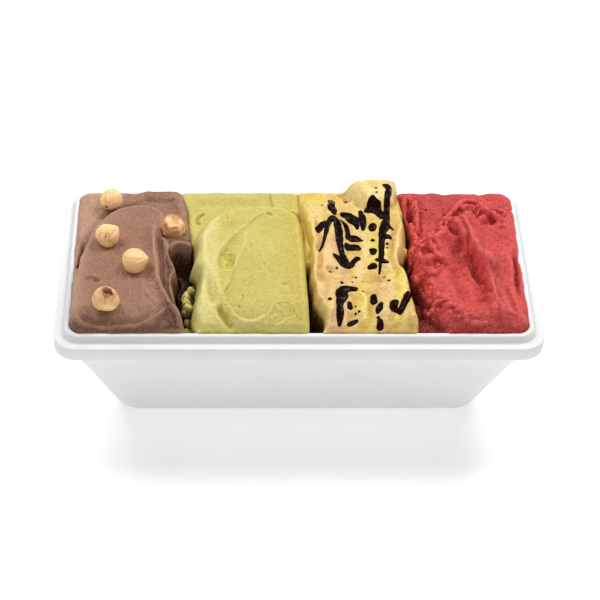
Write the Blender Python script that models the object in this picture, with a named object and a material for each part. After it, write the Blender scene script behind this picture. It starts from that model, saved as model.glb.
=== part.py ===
"""Takeaway gelato tub: a rectangular white foam tub filled with four slabs of gelato.

From left to right: chocolate with five hazelnuts, pistachio, custard with thick chocolate
drizzle, and raspberry sorbet. Each flavour is one solid that fills its share of the tub down
to the floor. Its top is a relief worked out from a few named slabs, folds and ridges.

Frame: metres, +Z up, the tub stands on Z = 0, X runs along its length, the viewer is at -Y.
Lengths in the tables below are millimetres, and MM turns them into metres.
"""

import math

import bmesh
import bpy
import numpy as np
from mathutils import Vector

MM = 0.001

# Tub
TUB_LENGTH = 260.0
TUB_WIDTH = 132.0
LEDGE_HEIGHT = 74.0
LIP_HEIGHT = 4.0
LIP_TOP = LEDGE_HEIGHT + LIP_HEIGHT
LEDGE_WIDTH = 4.5
LIP_DRAFT = 1.5
LIP_THICKNESS = 2.5
LIP_INSET = LEDGE_WIDTH + LIP_DRAFT + LIP_THICKNESS
RIM_BAND = 8.4
RIM_OVERHANG = 4.0
WALL_SLOPE = 0.385
FLOOR_THICKNESS = 6.0
FOOT_ROUND = 2.4
EDGE_ROUND = 0.9
CORNER_STEPS = 6
RIM_RADIUS = 12.5
LIP_RADIUS = 8.5
BODY_RADIUS = 18.0
FOOT_RADIUS = 14.0
CAVITY_RADIUS = 6.0

# Gelato
GAP = 0.35
HALF_GAP = 0.2
GRID_STEP = 2.8
WALL_LEVEL = -0.8
WALL_ROUND = 3.2
FRONT_ROLL = 17.0
FRONT_SHARE = 0.42
GUTTER_LEVEL = -13.0
PARTITION_ROUND = 3.0
PARTITION_DROP = 2.0
PARTITIONS = [(-60.5, 0.0), (3.2, -0.03), (60.5, -0.035)]  # x at y = 0, change of x with y

# Hazelnuts: x, y, height of the centre above the lip, radius, tip azimuth and tip elevation
NUTS = [
    (-103.4, 43.4, 7.6, 6.1, 100, 50),
    (-103.7, 6.8, 12.8, 6.5, 25, 30),
    (-88.0, -14.9, 13.4, 7.1, -20, 25),
    (-102.2, -46.0, 13.2, 7.0, 80, 45),
    (-69.0, 21.7, 5.6, 7.0, -30, 20),
]
NUT_SEGMENTS = 12
NUT_RINGS = 8
SOCKET_GAP = 0.35

# Drizzle
STROKE_SINK = 0.15

WHITE = (0.86, 0.87, 0.88)
CHOCOLATE = (0.30, 0.165, 0.11)
PISTACHIO = (0.68, 0.64, 0.20)
CUSTARD = (0.86, 0.70, 0.29)
RASPBERRY = (0.60, 0.07, 0.075)
HAZELNUT = (0.78, 0.53, 0.27)


# Plan curves and the distance to them

def smooth_curve(points, closed=False, per_span=5):
    """Catmull-Rom points through the control points."""
    points = np.asarray(points, float)
    count = len(points)
    out = []
    for i in range(count if closed else count - 1):
        around = [i - 1, i, i + 1, i + 2]
        if closed:
            around = [k % count for k in around]
        else:
            around = [min(max(k, 0), count - 1) for k in around]
        p0, p1, p2, p3 = points[around]
        for t in np.arange(per_span) / per_span:
            out.append(0.5 * (2 * p1 + (p2 - p0) * t + (2 * p0 - 5 * p1 + 4 * p2 - p3) * t * t
                              + (3 * p1 - p0 - 3 * p2 + p3) * t ** 3))
    if not closed:
        out.append(points[-1])
    return np.array(out)


def nearest(curve, x, y, closed=False):
    """Distance to a polyline, the side of it (+1 left, -1 right) and the share of its length."""
    starts = curve if closed else curve[:-1]
    ends = np.roll(curve, -1, axis=0) if closed else curve[1:]
    lengths = np.hypot(*(ends - starts).T)
    passed = np.concatenate([[0.0], np.cumsum(lengths)])
    best = np.full(x.shape, np.inf)
    side = np.ones(x.shape)
    along = np.zeros(x.shape)
    for start, end, length, before in zip(starts, ends, lengths, passed):
        dx, dy = end - start
        px, py = x - start[0], y - start[1]
        t = np.clip((px * dx + py * dy) / max(length * length, 1e-9), 0, 1)
        distance = np.hypot(px - t * dx, py - t * dy)
        closer = distance < best
        best = np.where(closer, distance, best)
        side = np.where(closer, np.sign(dx * py - dy * px), side)
        along = np.where(closer, (before + t * length) / passed[-1], along)
    return best, side, along


def depth_inside(outline, x, y):
    """Signed distance to a closed outline, positive inside."""
    curve = smooth_curve(outline, closed=True)
    distance, _, _ = nearest(curve, x, y, closed=True)
    inside = np.zeros(x.shape, bool)
    for (ax, ay), (bx, by) in zip(curve, np.roll(curve, -1, axis=0)):
        spans = (ay > y) != (by > y)
        inside ^= spans & (x < (bx - ax) * (y - ay) / (by - ay + 1e-12) + ax)
    return np.where(inside, distance, -distance)


# Relief features

def soft_step(t):
    t = np.clip(t, 0, 1)
    return t * t * (3 - 2 * t)


def shoulder(distance, width):
    """0 at an edge, rounding over to 1 at width inside it."""
    return np.sin(math.pi / 2 * np.clip(distance / width, 0, 1))


def slab(x, y, outline, height, width):
    """A layer laid on top, with a rounded edge that is width wide."""
    return height * shoulder(depth_inside(outline, x, y), width)


def ridge(x, y, path, height, left, right, ends=0.15):
    """A crest along a path, falling off over left and right, or a groove if height is negative."""
    distance, side, along = nearest(smooth_curve(path), x, y)
    width = np.where(side > 0, left, right)
    fade = soft_step(along / ends) * soft_step((1 - along) / ends)
    return height * np.exp(-(distance / width) ** 2) * fade


def mound(x, y, centre, radii, height, turn=0.0):
    """A soft hump, or a dent if height is negative, on an ellipse turned by so many degrees."""
    angle = math.radians(turn)
    dx, dy = x - centre[0], y - centre[1]
    u = (dx * math.cos(angle) + dy * math.sin(angle)) / radii[0]
    v = (dy * math.cos(angle) - dx * math.sin(angle)) / radii[1]
    return height * np.exp(-(u * u + v * v))


def lumps(x, y, cell, height, seed):
    """Smooth random unevenness about one cell across."""
    table = np.random.RandomState(seed).uniform(-1, 1, (64, 64))
    u, v = x / cell + 31.7, y / cell + 31.7
    i, j = np.floor(u).astype(int) % 64, np.floor(v).astype(int) % 64
    s, t = soft_step(u - np.floor(u)), soft_step(v - np.floor(v))
    i2, j2 = (i + 1) % 64, (j + 1) % 64
    low = table[i, j] * (1 - s) + table[i2, j] * s
    high = table[i, j2] * (1 - s) + table[i2, j2] * s
    return height * (low * (1 - t) + high * t)


# The four tops: heights above the lip

CHOCOLATE_BASE = [(-134, 70), (-57, 70), (-57, 24), (-60, 13), (-66, 5), (-70, -6), (-67, -24),
                  (-62, -42), (-58, -70), (-134, -70)]
CHOCOLATE_FOLD = [(-96, 24), (-80, 22), (-71, 10), (-67.5, -2), (-66.5, -14), (-65, -28), (-61, -42),
                  (-57, -56), (-60, -74), (-98, -74)]
CHOCOLATE_SLAB = [(-132, -74), (-126, -22), (-118, 0), (-115, 16), (-109, 29), (-101, 37), (-91, 40.5),
                  (-81, 39.5), (-74, 34), (-72, 24), (-75.5, 12), (-75.5, 0), (-74, -12), (-73.5, -22),
                  (-71, -31), (-67, -40), (-61, -52), (-58, -74)]


def chocolate_top(x, y):
    z = GUTTER_LEVEL + slab(x, y, CHOCOLATE_BASE, 2.2 - GUTTER_LEVEL, 5.0)
    z += slab(x, y, CHOCOLATE_FOLD, 2.4, 3.5)
    z += slab(x, y, CHOCOLATE_SLAB, 4.8, 5.5)
    z += mound(x, y, (-72, 52), (15, 9), 1.8, 10)
    z += ridge(x, y, [(-118, -49), (-110, -54), (-92, -54), (-78, -52), (-68, -46)], 1.2, 3.0, 3.0)
    z += ridge(x, y, [(-84, -2), (-82, -18), (-77, -32), (-70, -44)], -0.8, 3.0, 5.0)
    z += mound(x, y, (-111, -22), (3.0, 2.0), 1.4, 20)
    z += mound(x, y, (-94, -8), (14, 26), 0.9)
    return z + lumps(x, y, 17, 0.35, 3)


PISTACHIO_BASE = [(-70, 70), (12, 70), (12, -70), (-53, -70), (-59, -54), (-62, -42), (-60, -30),
                  (-61, -20), (-60, -4), (-66, 14)]
PISTACHIO_SLAB = [(-60, 2), (-57, 17), (-52, 28), (-44, 36), (-34, 39.5), (-22, 40.5), (-11, 40), (-3, 37.5),
                  (2.5, 32), (5, 22), (7, 4), (9, -30), (11, -74), (-58, -74), (-60.5, -46), (-57.5, -30),
                  (-60, -14)]
PISTACHIO_STEP = [(-14, 70), (-14, 44), (-10, 40), (10, 40), (10, 70)]


def pistachio_top(x, y):
    z = GUTTER_LEVEL + slab(x, y, PISTACHIO_BASE, 1.2 - GUTTER_LEVEL, 4.5)
    z += slab(x, y, PISTACHIO_SLAB, 8.0, 6.5)
    z += slab(x, y, PISTACHIO_STEP, 1.6, 2.0)
    z += mound(x, y, (-27, -6), (22, 30), 1.8)
    z += ridge(x, y, [(-30, 12), (-36, 3), (-41, -6), (-42, -16), (-38, -21)], -1.8, 3.4, 2.4, 0.25)
    z += ridge(x, y, [(-51, 16), (-51, -4), (-50, -20), (-46, -34), (-43, -46)], 0.9, 2.6, 3.0)
    z += ridge(x, y, [(-54, -14), (-52, -24), (-48, -36), (-46, -46)], -1.4, 2.2, 2.0)
    z += ridge(x, y, [(-39, -48), (-33, -54), (-25, -57), (-18, -55), (-11, -49)], 1.2, 2.0, 2.4)
    z += ridge(x, y, [(-44, -47), (-40, -51), (-36, -56), (-33, -60)], -1.8, 2.0, 1.8)
    return z + lumps(x, y, 15, 0.4, 8)


CUSTARD_BASE = [(-4, 74), (-2, 42), (0, 28), (2, 16), (3.5, 2), (3, -12), (4.5, -26), (4.5, -36), (8, -44),
                (11, -50), (11, -74), (62, -74), (65, -56), (65, -43), (63, -30), (61, -16), (58.5, -6),
                (61, 2), (63, 17), (62, 30), (59, 42), (57, 74)]
CUSTARD_PEAK = [(26, 72), (29, 50), (35, 37), (46, 33), (55, 37), (58, 48), (60, 72)]


def custard_top(x, y):
    z = GUTTER_LEVEL + slab(x, y, CUSTARD_BASE, 7.6 - GUTTER_LEVEL, 5.5)
    z += slab(x, y, CUSTARD_PEAK, 5.2, 8.0)
    z += mound(x, y, (50, 28), (9, 26), 2.4)
    z += ridge(x, y, [(8, 50), (10, 30), (12, 12), (12, -6), (12, -24)], 1.6, 6.0, 4.0)
    z += ridge(x, y, [(28, 46), (27, 30), (25, 12), (28, -6)], -1.6, 6.0, 5.0)
    z += ridge(x, y, [(22, -26), (32, -22), (42, -20), (52, -12)], -1.2, 5.0, 4.0)
    z += ridge(x, y, [(38, -30), (38, -44), (36, -60)], -1.8, 3.5, 3.5)
    z += ridge(x, y, [(52, -12), (55, -26), (55, -40), (52, -56)], 1.3, 3.0, 4.0)
    return z + lumps(x, y, 12, 0.6, 5)


RASPBERRY_FLOOR = -7.5
RASPBERRY_BASE = [(52, 74), (134, 74), (134, -74), (84, -74), (76, -58), (74, -46), (69, -34), (67, -22),
                  (63, -8), (59, 6), (60, 22), (58, 40)]
RASPBERRY_CURL = [(86, 31), (80, 22), (72, 13), (65, 4), (60.5, -7), (61.5, -20), (66, -30), (69, -38),
                  (71, -46), (76, -54), (86, -66), (104, -74), (104, -44), (100, -26), (96, -10), (94, 8),
                  (92, 24)]
RASPBERRY_RIDGE = [(87, 38), (93, 28), (96, 16), (98, 4), (100, -8), (102, -20), (104, -34), (107, -48),
                   (112, -66)]


def raspberry_top(x, y):
    z = RASPBERRY_FLOOR + slab(x, y, RASPBERRY_BASE, 1.0 - RASPBERRY_FLOOR, 5.0)
    z += slab(x, y, RASPBERRY_CURL, 5.5, 6.0)
    z += ridge(x, y, RASPBERRY_RIDGE, 7.5, 9.0, 3.4, 0.12)
    z += ridge(x, y, [(82, 26), (80, 17), (72, 9), (66, 0), (63, -12)], 2.4, 3.0, 3.0)
    z += ridge(x, y, [(84, 16), (88, 0), (88, -20), (92, -44)], -4.0, 6.0, 6.0)
    z += ridge(x, y, [(90, 40), (98, 43), (104, 38), (105, 28)], 3.2, 2.6, 2.6)
    z += ridge(x, y, [(104, 36), (111, 34), (115, 28)], 2.2, 2.4, 2.4)
    z += ridge(x, y, [(64, 53), (67, 43), (64, 32), (62, 20)], 2.2, 2.6, 2.6)
    z += mound(x, y, (104, -9), (4.0, 5.5), 2.6, 20)
    z += mound(x, y, (71, -12), (4.0, 4.0), 2.2)
    z += mound(x, y, (70, -42), (3.5, 3.0), 3.0)
    return z + lumps(x, y, 8, 0.8, 12)


TOPS = [chocolate_top, pistachio_top, custard_top, raspberry_top]

# Drizzle strokes on the custard: half width, then plan points
STROKES = [
    (1.9, [(19.5, 42.0), (19.5, 36.0), (19.8, 30.5)]),
    (0.9, [(11.2, -1.6), (14.1, 7.6), (15.9, 18.0)]),
    (1.7, [(15.9, 18.0), (18.4, 26.2), (20.9, 28.0), (22.8, 24.7), (23.2, 16.0), (23.2, 8.0), (24.4, -7.3)]),
    (1.9, [(19.8, -3.1), (22.7, -7.8), (26.4, -13.0), (29.2, -10.1), (32.1, -6.8)]),
    (2.0, [(11.4, 15.0), (12.9, 20.4)]),
    (2.2, [(25.4, 31.6), (28.6, 32.5), (30.6, 26.4), (32.9, 18.5)]),
    (1.3, [(24.0, 27.1), (27.0, 23.8), (28.2, 17.1), (30.9, 13.0), (34.9, 8.3)]),
    (1.9, [(26.6, 7.2), (29.2, 3.4), (33.3, 0.9)]),
    (1.7, [(35.3, 33.6), (36.3, 27.5), (36.3, 19.2)]),
    (2.6, [(38.8, 33.0), (42.6, 35.0), (44.6, 30.0), (48.0, 25.6)]),
    (1.9, [(48.6, 47.0), (50.6, 42.0), (50.4, 25.0), (47.4, 16.0), (45.6, 2.2), (44.6, -8.0)]),
    (1.7, [(47.6, 18.2), (51.4, 18.6)]),
    (1.5, [(46.4, 11.4), (50.4, 12.0)]),
    (1.5, [(42.1, -7.0), (45.1, -8.3), (48.6, -7.7)]),
    (1.7, [(41.4, 20.2), (41.4, 17.8)]),
    (1.8, [(40.9, 1.4), (40.8, -0.8)]),
    (1.8, [(39.2, -11.0), (40.6, -11.8)]),
    (1.9, [(30.0, -31.4), (26.0, -30.0), (21.8, -31.8), (21.2, -39.8), (21.4, -47.0), (20.6, -54.8)]),
    (1.6, [(25.9, -37.8), (21.6, -38.6)]),
    (1.5, [(26.4, -42.0), (26.4, -44.6)]),
    (1.3, [(25.3, -52.4), (29.8, -50.4)]),
    (1.5, [(39.3, -37.2), (39.3, -40.4)]),
    (1.6, [(42.5, -43.8), (41.3, -45.8)]),
    (1.7, [(42.1, -52.6), (42.1, -55.4)]),
    (2.0, [(49.6, -43.3), (51.4, -48.4), (54.2, -44.4), (58.0, -35.4)]),
]


# Tub and cavity in plan

def inner_inset(z):
    """How far the cavity's wall is from the rim's outer edge at height z."""
    return LIP_INSET + WALL_SLOPE * (LIP_TOP - z)


def rounded_rectangle(inset, radius):
    """The tub's outline moved in by inset, anticlockwise."""
    half_x, half_y = TUB_LENGTH / 2 - inset - radius, TUB_WIDTH / 2 - inset - radius
    ring = []
    for corner, (sx, sy) in enumerate(((1, 1), (-1, 1), (-1, -1), (1, -1))):
        for step in range(CORNER_STEPS + 1):
            angle = math.pi / 2 * (corner + step / CORNER_STEPS)
            ring.append((sx * half_x + radius * math.cos(angle), sy * half_y + radius * math.sin(angle)))
    return ring


def tub_profile():
    """(inset, height, corner radius) up the outside, over the lip and down the inside."""
    rim_bottom = LEDGE_HEIGHT - RIM_BAND
    foot = RIM_OVERHANG + WALL_SLOPE * rim_bottom
    lip_outer = LEDGE_WIDTH + LIP_DRAFT
    return [
        (foot + FOOT_ROUND, 0.0, FOOT_RADIUS),
        (foot + 0.25 * FOOT_ROUND, 0.3 * FOOT_ROUND, FOOT_RADIUS),
        (foot - WALL_SLOPE * FOOT_ROUND, FOOT_ROUND, FOOT_RADIUS),
        (RIM_OVERHANG, rim_bottom, BODY_RADIUS),
        (EDGE_ROUND, rim_bottom + 0.1, RIM_RADIUS),
        (0.2, rim_bottom + EDGE_ROUND, RIM_RADIUS),
        (0.0, LEDGE_HEIGHT - EDGE_ROUND, RIM_RADIUS),
        (0.3 * EDGE_ROUND, LEDGE_HEIGHT - 0.3 * EDGE_ROUND, RIM_RADIUS),
        (EDGE_ROUND, LEDGE_HEIGHT, RIM_RADIUS),
        (LEDGE_WIDTH, LEDGE_HEIGHT, LIP_RADIUS + 1.0),
        (lip_outer - 0.2, LIP_TOP - 0.6, LIP_RADIUS),
        (lip_outer + 0.5, LIP_TOP, LIP_RADIUS),
        (LIP_INSET - 0.5, LIP_TOP, CAVITY_RADIUS),
        (inner_inset(LIP_TOP - 0.5), LIP_TOP - 0.5, CAVITY_RADIUS),
        (inner_inset(FLOOR_THICKNESS), FLOOR_THICKNESS, CAVITY_RADIUS),
    ]


def cavity_half(z):
    """Half the length and width that gelato may take in the cavity at height z."""
    inset = inner_inset(z) + GAP
    return TUB_LENGTH / 2 - inset, TUB_WIDTH / 2 - inset


def side(flavour, y, z):
    """The left edge in X of a flavour, or the tub's right wall for the number past the last one."""
    if flavour == 0:
        return -cavity_half(z)[0]
    if flavour == len(TOPS):
        return cavity_half(z)[0]
    at_middle, slope = PARTITIONS[flavour - 1]
    return at_middle + slope * y


def plan(flavour, u, v, z):
    """Where a point of a flavour's unit square lies at height z, inside the rounded corners."""
    half_x, half_y = cavity_half(z)
    y = v * half_y
    low, high = side(flavour, y, z), side(flavour + 1, y, z)
    low = low + (HALF_GAP if flavour > 0 else 0.0)
    high = high - (HALF_GAP if flavour + 1 < len(TOPS) else 0.0)
    x = low + (u + 1) / 2 * (high - low)
    over_x = np.clip((np.abs(x) - half_x + CAVITY_RADIUS) / CAVITY_RADIUS, 0, 1)
    over_y = np.clip((np.abs(y) - half_y + CAVITY_RADIUS) / CAVITY_RADIUS, 0, 1)
    pull_x = over_x * (1 - np.sqrt(1 - over_y ** 2 / 2)) * CAVITY_RADIUS
    pull_y = over_y * (1 - np.sqrt(1 - over_x ** 2 / 2)) * CAVITY_RADIUS
    return x - np.sign(x) * pull_x, y - np.sign(y) * pull_y


def wall_distance(x, y):
    """How far a point is inside the cavity's mouth."""
    half_x, half_y = cavity_half(LIP_TOP)
    qx = np.abs(x) - half_x + CAVITY_RADIUS
    qy = np.abs(y) - half_y + CAVITY_RADIUS
    outside = np.hypot(np.maximum(qx, 0), np.maximum(qy, 0))
    return CAVITY_RADIUS - outside - np.minimum(np.maximum(qx, qy), 0)


def surface(flavour, x, y):
    """Height of a flavour's top: its relief, brought down to the lip and into the gutters."""
    x, y = np.asarray(x, float), np.asarray(y, float)
    relief = TOPS[flavour](x, y)
    front = soft_step((y + cavity_half(LIP_TOP)[1]) / FRONT_ROLL)
    relief = np.where(relief > 0, relief * (FRONT_SHARE + (1 - FRONT_SHARE) * front), relief)
    at_wall = WALL_LEVEL + (relief - WALL_LEVEL) * shoulder(wall_distance(x, y), WALL_ROUND)
    relief = np.where(relief > WALL_LEVEL, at_wall, relief)
    for number, sign in ((flavour, 1), (flavour + 1, -1)):
        if 0 < number < len(TOPS):
            distance = sign * (x - side(number, y, LIP_TOP)) - HALF_GAP
            relief = relief - PARTITION_DROP * (1 - shoulder(distance, PARTITION_ROUND))
    return LIP_TOP + relief


# Building

def make_material(name, colour, roughness):
    material = bpy.data.materials.new(name)
    material.use_nodes = True
    shader = material.node_tree.nodes["Principled BSDF"]
    shader.inputs["Base Color"].default_value = (*colour, 1)
    shader.inputs["Roughness"].default_value = roughness
    shader.inputs["Metallic"].default_value = 0.0
    return material


def finish(name, bm, collection, material, sharp_degrees):
    """Turn a bmesh into a smooth-shaded object in the collection."""
    mesh = bpy.data.meshes.new(name)
    bm.to_mesh(mesh)
    bm.free()
    mesh.materials.append(material)
    mesh.shade_smooth()
    mesh.set_sharp_from_angle(angle=math.radians(sharp_degrees))
    obj = bpy.data.objects.new(name, mesh)
    collection.objects.link(obj)
    return obj


def add_tub(collection, material):
    """Rounded-rectangle rings lofted along the tub's profile and closed by its two floors."""
    bm = bmesh.new()
    rings = []
    for inset, height, radius in tub_profile():
        outline = rounded_rectangle(inset, radius)
        rings.append([bm.verts.new((x * MM, y * MM, height * MM)) for x, y in outline])
    for low, high in zip(rings, rings[1:]):
        for i in range(len(low)):
            j = (i + 1) % len(low)
            bm.faces.new((low[i], low[j], high[j], high[i]))
    bm.faces.new(list(reversed(rings[0])))
    bm.faces.new(rings[-1])
    return finish("foam_tub", bm, collection, material, 35)


def add_gelato(name, flavour, collection, material):
    """A grid over a flavour's share of the mouth, raised to its relief, with sides down to the floor."""
    half_x, half_y = cavity_half(LIP_TOP)
    length = side(flavour + 1, 0.0, LIP_TOP) - side(flavour, 0.0, LIP_TOP)
    bm = bmesh.new()
    bmesh.ops.create_grid(bm, x_segments=round(length / GRID_STEP), y_segments=round(2 * half_y / GRID_STEP),
                          size=1.0)
    top_count = len(bm.verts)
    rim = [edge for edge in bm.edges if edge.is_boundary]
    made = bmesh.ops.extrude_edge_only(bm, edges=rim)["geom"]
    foot_verts = [item for item in made if isinstance(item, bmesh.types.BMVert)]
    bmesh.ops.contextual_create(bm, geom=[item for item in made if isinstance(item, bmesh.types.BMEdge)])
    bm.verts.ensure_lookup_table()
    unit = np.array([vert.co[:2] for vert in bm.verts])
    u, v = unit[:top_count].T
    x, y = plan(flavour, u, v, LIP_TOP)
    heights = surface(flavour, x, y)
    x, y = plan(flavour, u, v, np.minimum(heights, LIP_TOP))
    for vert, place in zip(list(bm.verts)[:top_count], zip(x, y, heights)):
        vert.co = Vector(place) * MM
    floor = FLOOR_THICKNESS + GAP
    for vert in foot_verts:
        px, py = plan(flavour, vert.co.x, vert.co.y, floor)
        vert.co = Vector((px, py, floor)) * MM
    bmesh.ops.recalc_face_normals(bm, faces=bm.faces)
    return finish(name, bm, collection, material, 50)


def nut_mesh(radius):
    """A blanched hazelnut: a ball drawn out to a blunt tip at +Z and flattened at its base."""
    bm = bmesh.new()
    bmesh.ops.create_uvsphere(bm, u_segments=NUT_SEGMENTS, v_segments=NUT_RINGS, radius=1.0)
    for vert in bm.verts:
        tip = max(0.0, vert.co.z)
        base = max(0.0, -vert.co.z)
        slim = 1 - 0.10 * tip ** 2
        vert.co = Vector((vert.co.x * slim, vert.co.y * slim, vert.co.z + 0.16 * tip ** 6 + 0.10 * base ** 4))
        vert.co *= radius * MM
    return bm


def add_nuts(collection, cutters, material):
    """The hazelnuts, and a slightly larger copy of each that cuts its socket in the chocolate."""
    for number, (x, y, height, radius, azimuth, elevation) in enumerate(NUTS, start=1):
        flat = math.cos(math.radians(elevation))
        tip = Vector((flat * math.cos(math.radians(azimuth)), flat * math.sin(math.radians(azimuth)),
                      math.sin(math.radians(elevation))))
        for name, size, group in ((f"hazelnut_{number}", radius, collection),
                                  (f"socket_{number}", radius + SOCKET_GAP, cutters)):
            obj = finish(name, nut_mesh(size), group, material, 60)
            obj.rotation_mode = "QUATERNION"
            obj.rotation_quaternion = tip.to_track_quat("Z", "Y")
            obj.location = Vector((x, y, LIP_TOP + height)) * MM


def add_strokes(collection, material):
    """Drizzle strokes: tubes laid along the custard's surface and sunk a little into it."""
    for half_width, points in STROKES:
        path = smooth_curve(points, per_span=2)
        curve = bpy.data.curves.new("stroke", "CURVE")
        curve.dimensions = "3D"
        curve.bevel_depth = half_width * MM
        curve.bevel_resolution = 1
        curve.use_fill_caps = True
        spline = curve.splines.new("POLY")
        spline.points.add(len(path) - 1)
        heights = surface(2, path[:, 0], path[:, 1]) - STROKE_SINK * half_width
        for point, (x, y), z in zip(spline.points, path, heights):
            point.co = (x * MM, y * MM, z * MM, 1)
        spline.points[0].radius = 0.72
        spline.points[-1].radius = 0.72
        obj = bpy.data.objects.new("stroke", curve)
        collection.objects.link(obj)
        curve_to_mesh(obj, collection, material)


def curve_to_mesh(obj, collection, material):
    """Replace a curve object by a mesh with welded caps."""
    bpy.context.view_layer.update()
    mesh = bpy.data.meshes.new_from_object(obj.evaluated_get(bpy.context.evaluated_depsgraph_get()))
    bm = bmesh.new()
    bm.from_mesh(mesh)
    bmesh.ops.remove_doubles(bm, verts=bm.verts, dist=0.00001)
    bmesh.ops.recalc_face_normals(bm, faces=bm.faces)
    bpy.data.objects.remove(obj)
    return finish("stroke", bm, collection, material, 60)


def combine(obj, pieces, operation):
    """One Boolean of a whole collection on an object, applied, and the collection removed."""
    modifier = obj.modifiers.new(operation.lower(), "BOOLEAN")
    modifier.operation = operation
    modifier.operand_type = "COLLECTION"
    modifier.collection = pieces
    modifier.solver = "EXACT"
    bpy.context.view_layer.update()
    joined = bpy.data.meshes.new_from_object(obj.evaluated_get(bpy.context.evaluated_depsgraph_get()))
    obj.modifiers.clear()
    obj.data = joined
    for piece in list(pieces.objects):
        bpy.data.objects.remove(piece)
    bpy.data.collections.remove(pieces)


def new_collection(name):
    collection = bpy.data.collections.new(name)
    bpy.context.scene.collection.children.link(collection)
    return collection


def main():
    for obj in list(bpy.data.objects):
        bpy.data.objects.remove(obj)
    gelato_tub = new_collection("gelato_tub")
    sockets = new_collection("sockets")
    drizzle = new_collection("drizzle")

    add_tub(gelato_tub, make_material("white foam", WHITE, 0.6))
    chocolate = add_gelato("chocolate_gelato", 0, gelato_tub, make_material("chocolate", CHOCOLATE, 0.5))
    add_gelato("pistachio_gelato", 1, gelato_tub, make_material("pistachio", PISTACHIO, 0.5))
    custard = add_gelato("custard_gelato", 2, gelato_tub, make_material("custard", CUSTARD, 0.45))
    add_gelato("raspberry_sorbet", 3, gelato_tub, make_material("raspberry", RASPBERRY, 0.5))
    add_nuts(gelato_tub, sockets, make_material("hazelnut", HAZELNUT, 0.55))
    add_strokes(drizzle, custard.data.materials[0])
    combine(chocolate, sockets, "DIFFERENCE")
    combine(custard, drizzle, "UNION")


main()
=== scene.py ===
"""Looks of the gelato tub: foam tub, four flavours of gelato, drizzle and hazelnuts.

Each flavour is a fine mesh over nearly the same relief as its solid, with the small forms
added: swipes, pores, crumbs and ragged ridges. Tables are in millimetres; MM turns them to metres.
"""
import math

import bpy
import numpy as np
from mathutils import Matrix, Vector


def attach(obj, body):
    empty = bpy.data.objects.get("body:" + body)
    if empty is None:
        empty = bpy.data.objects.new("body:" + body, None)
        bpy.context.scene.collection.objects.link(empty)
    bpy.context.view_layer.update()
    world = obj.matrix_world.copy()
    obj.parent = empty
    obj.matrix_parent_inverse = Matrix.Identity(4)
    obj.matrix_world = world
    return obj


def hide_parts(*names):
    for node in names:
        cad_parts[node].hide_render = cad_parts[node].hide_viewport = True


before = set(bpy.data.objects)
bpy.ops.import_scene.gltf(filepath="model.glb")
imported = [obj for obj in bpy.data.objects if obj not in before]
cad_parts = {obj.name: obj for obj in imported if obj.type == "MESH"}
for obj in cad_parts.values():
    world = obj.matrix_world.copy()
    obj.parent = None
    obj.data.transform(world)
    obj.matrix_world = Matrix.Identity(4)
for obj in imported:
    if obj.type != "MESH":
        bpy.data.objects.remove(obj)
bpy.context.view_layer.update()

MM = 0.001
# Distance between the points of the gelato meshes
STEP = 0.36
CHOCOLATE, PISTACHIO, CUSTARD, RASPBERRY = range(4)

# Camera, fitted to the tub's corners in the photograph
CAMERA_PLACE = (-0.0330, -0.8308, 0.8002)
CAMERA_PITCH = math.radians(42.08)
CAMERA_YAW = math.radians(2.397)
CAMERA_ROLL = math.radians(1.635)
CAMERA_LENS = 120.71

# Tub, as in the part
TUB_LENGTH = 260.0
TUB_WIDTH = 132.0
LEDGE_HEIGHT = 74.0
LIP_HEIGHT = 4.0
LIP_TOP = LEDGE_HEIGHT + LIP_HEIGHT
LEDGE_WIDTH = 4.5
LIP_DRAFT = 1.5
LIP_THICKNESS = 2.5
LIP_INSET = LEDGE_WIDTH + LIP_DRAFT + LIP_THICKNESS
RIM_BAND = 8.4
RIM_OVERHANG = 4.0
WALL_SLOPE = 0.385
FLOOR_THICKNESS = 6.0
FOOT_ROUND = 2.4
EDGE_ROUND = 0.9
RIM_RADIUS = 12.5
LIP_RADIUS = 8.5
BODY_RADIUS = 18.0
FOOT_RADIUS = 14.0
CAVITY_RADIUS = 6.0
CORNER_STEPS = 20
SIDE_STEPS = 24
FILLET_STEPS = 5
PROFILE_STEP = 4.0

# Gelato: its gap to the wall, levels above the lip, and how its edges round off
GAP = 0.1
GUTTER_LEVEL = -18.0
WALL_LEVEL = 0.6
WALL_ROUND = 3.0
LIP_LAP = 0.55
FRONT_ROLL = 17.0
FRONT_SHARE = 0.30
PARTITION_ROUND = 3.0
PARTITION_DROP = 1.4
# The buried sides: a ring this far below the top of the lip, and the gap to the tub's floor
SKIRT_DROP = 9.0
FLOOR_GAP = 0.35
# Where two flavours meet, from front to back
PARTITIONS = [[(-60.5, -64), (-60.5, -12), (-59.6, 0), (-58.4, 9), (-58.9, 18), (-60.2, 30), (-61.0, 40),
               (-62.6, 47), (-64.6, 54), (-66.5, 64)],
              [(5.1, -64), (3.4, -6), (2.9, 20), (1.8, 40), (1.4, 64)],
              [(62.7, -64), (61.2, -20), (60.2, 2), (61.0, 22), (60.0, 36), (57.8, 50), (56.6, 64)]]

# Hazelnuts: x, y, height of the centre above the lip, radius, tip azimuth and tip elevation
NUTS = [
    (-103.4, 43.4, 7.6, 6.1, 100, 50),
    (-103.7, 6.8, 12.8, 6.5, 25, 30),
    (-88.0, -14.9, 13.4, 7.1, -20, 25),
    (-102.2, -46.0, 13.2, 7.0, 80, 45),
    (-69.0, 21.7, 5.6, 7.0, -30, 20),
]


# Plan curves and the distance to them

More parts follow.
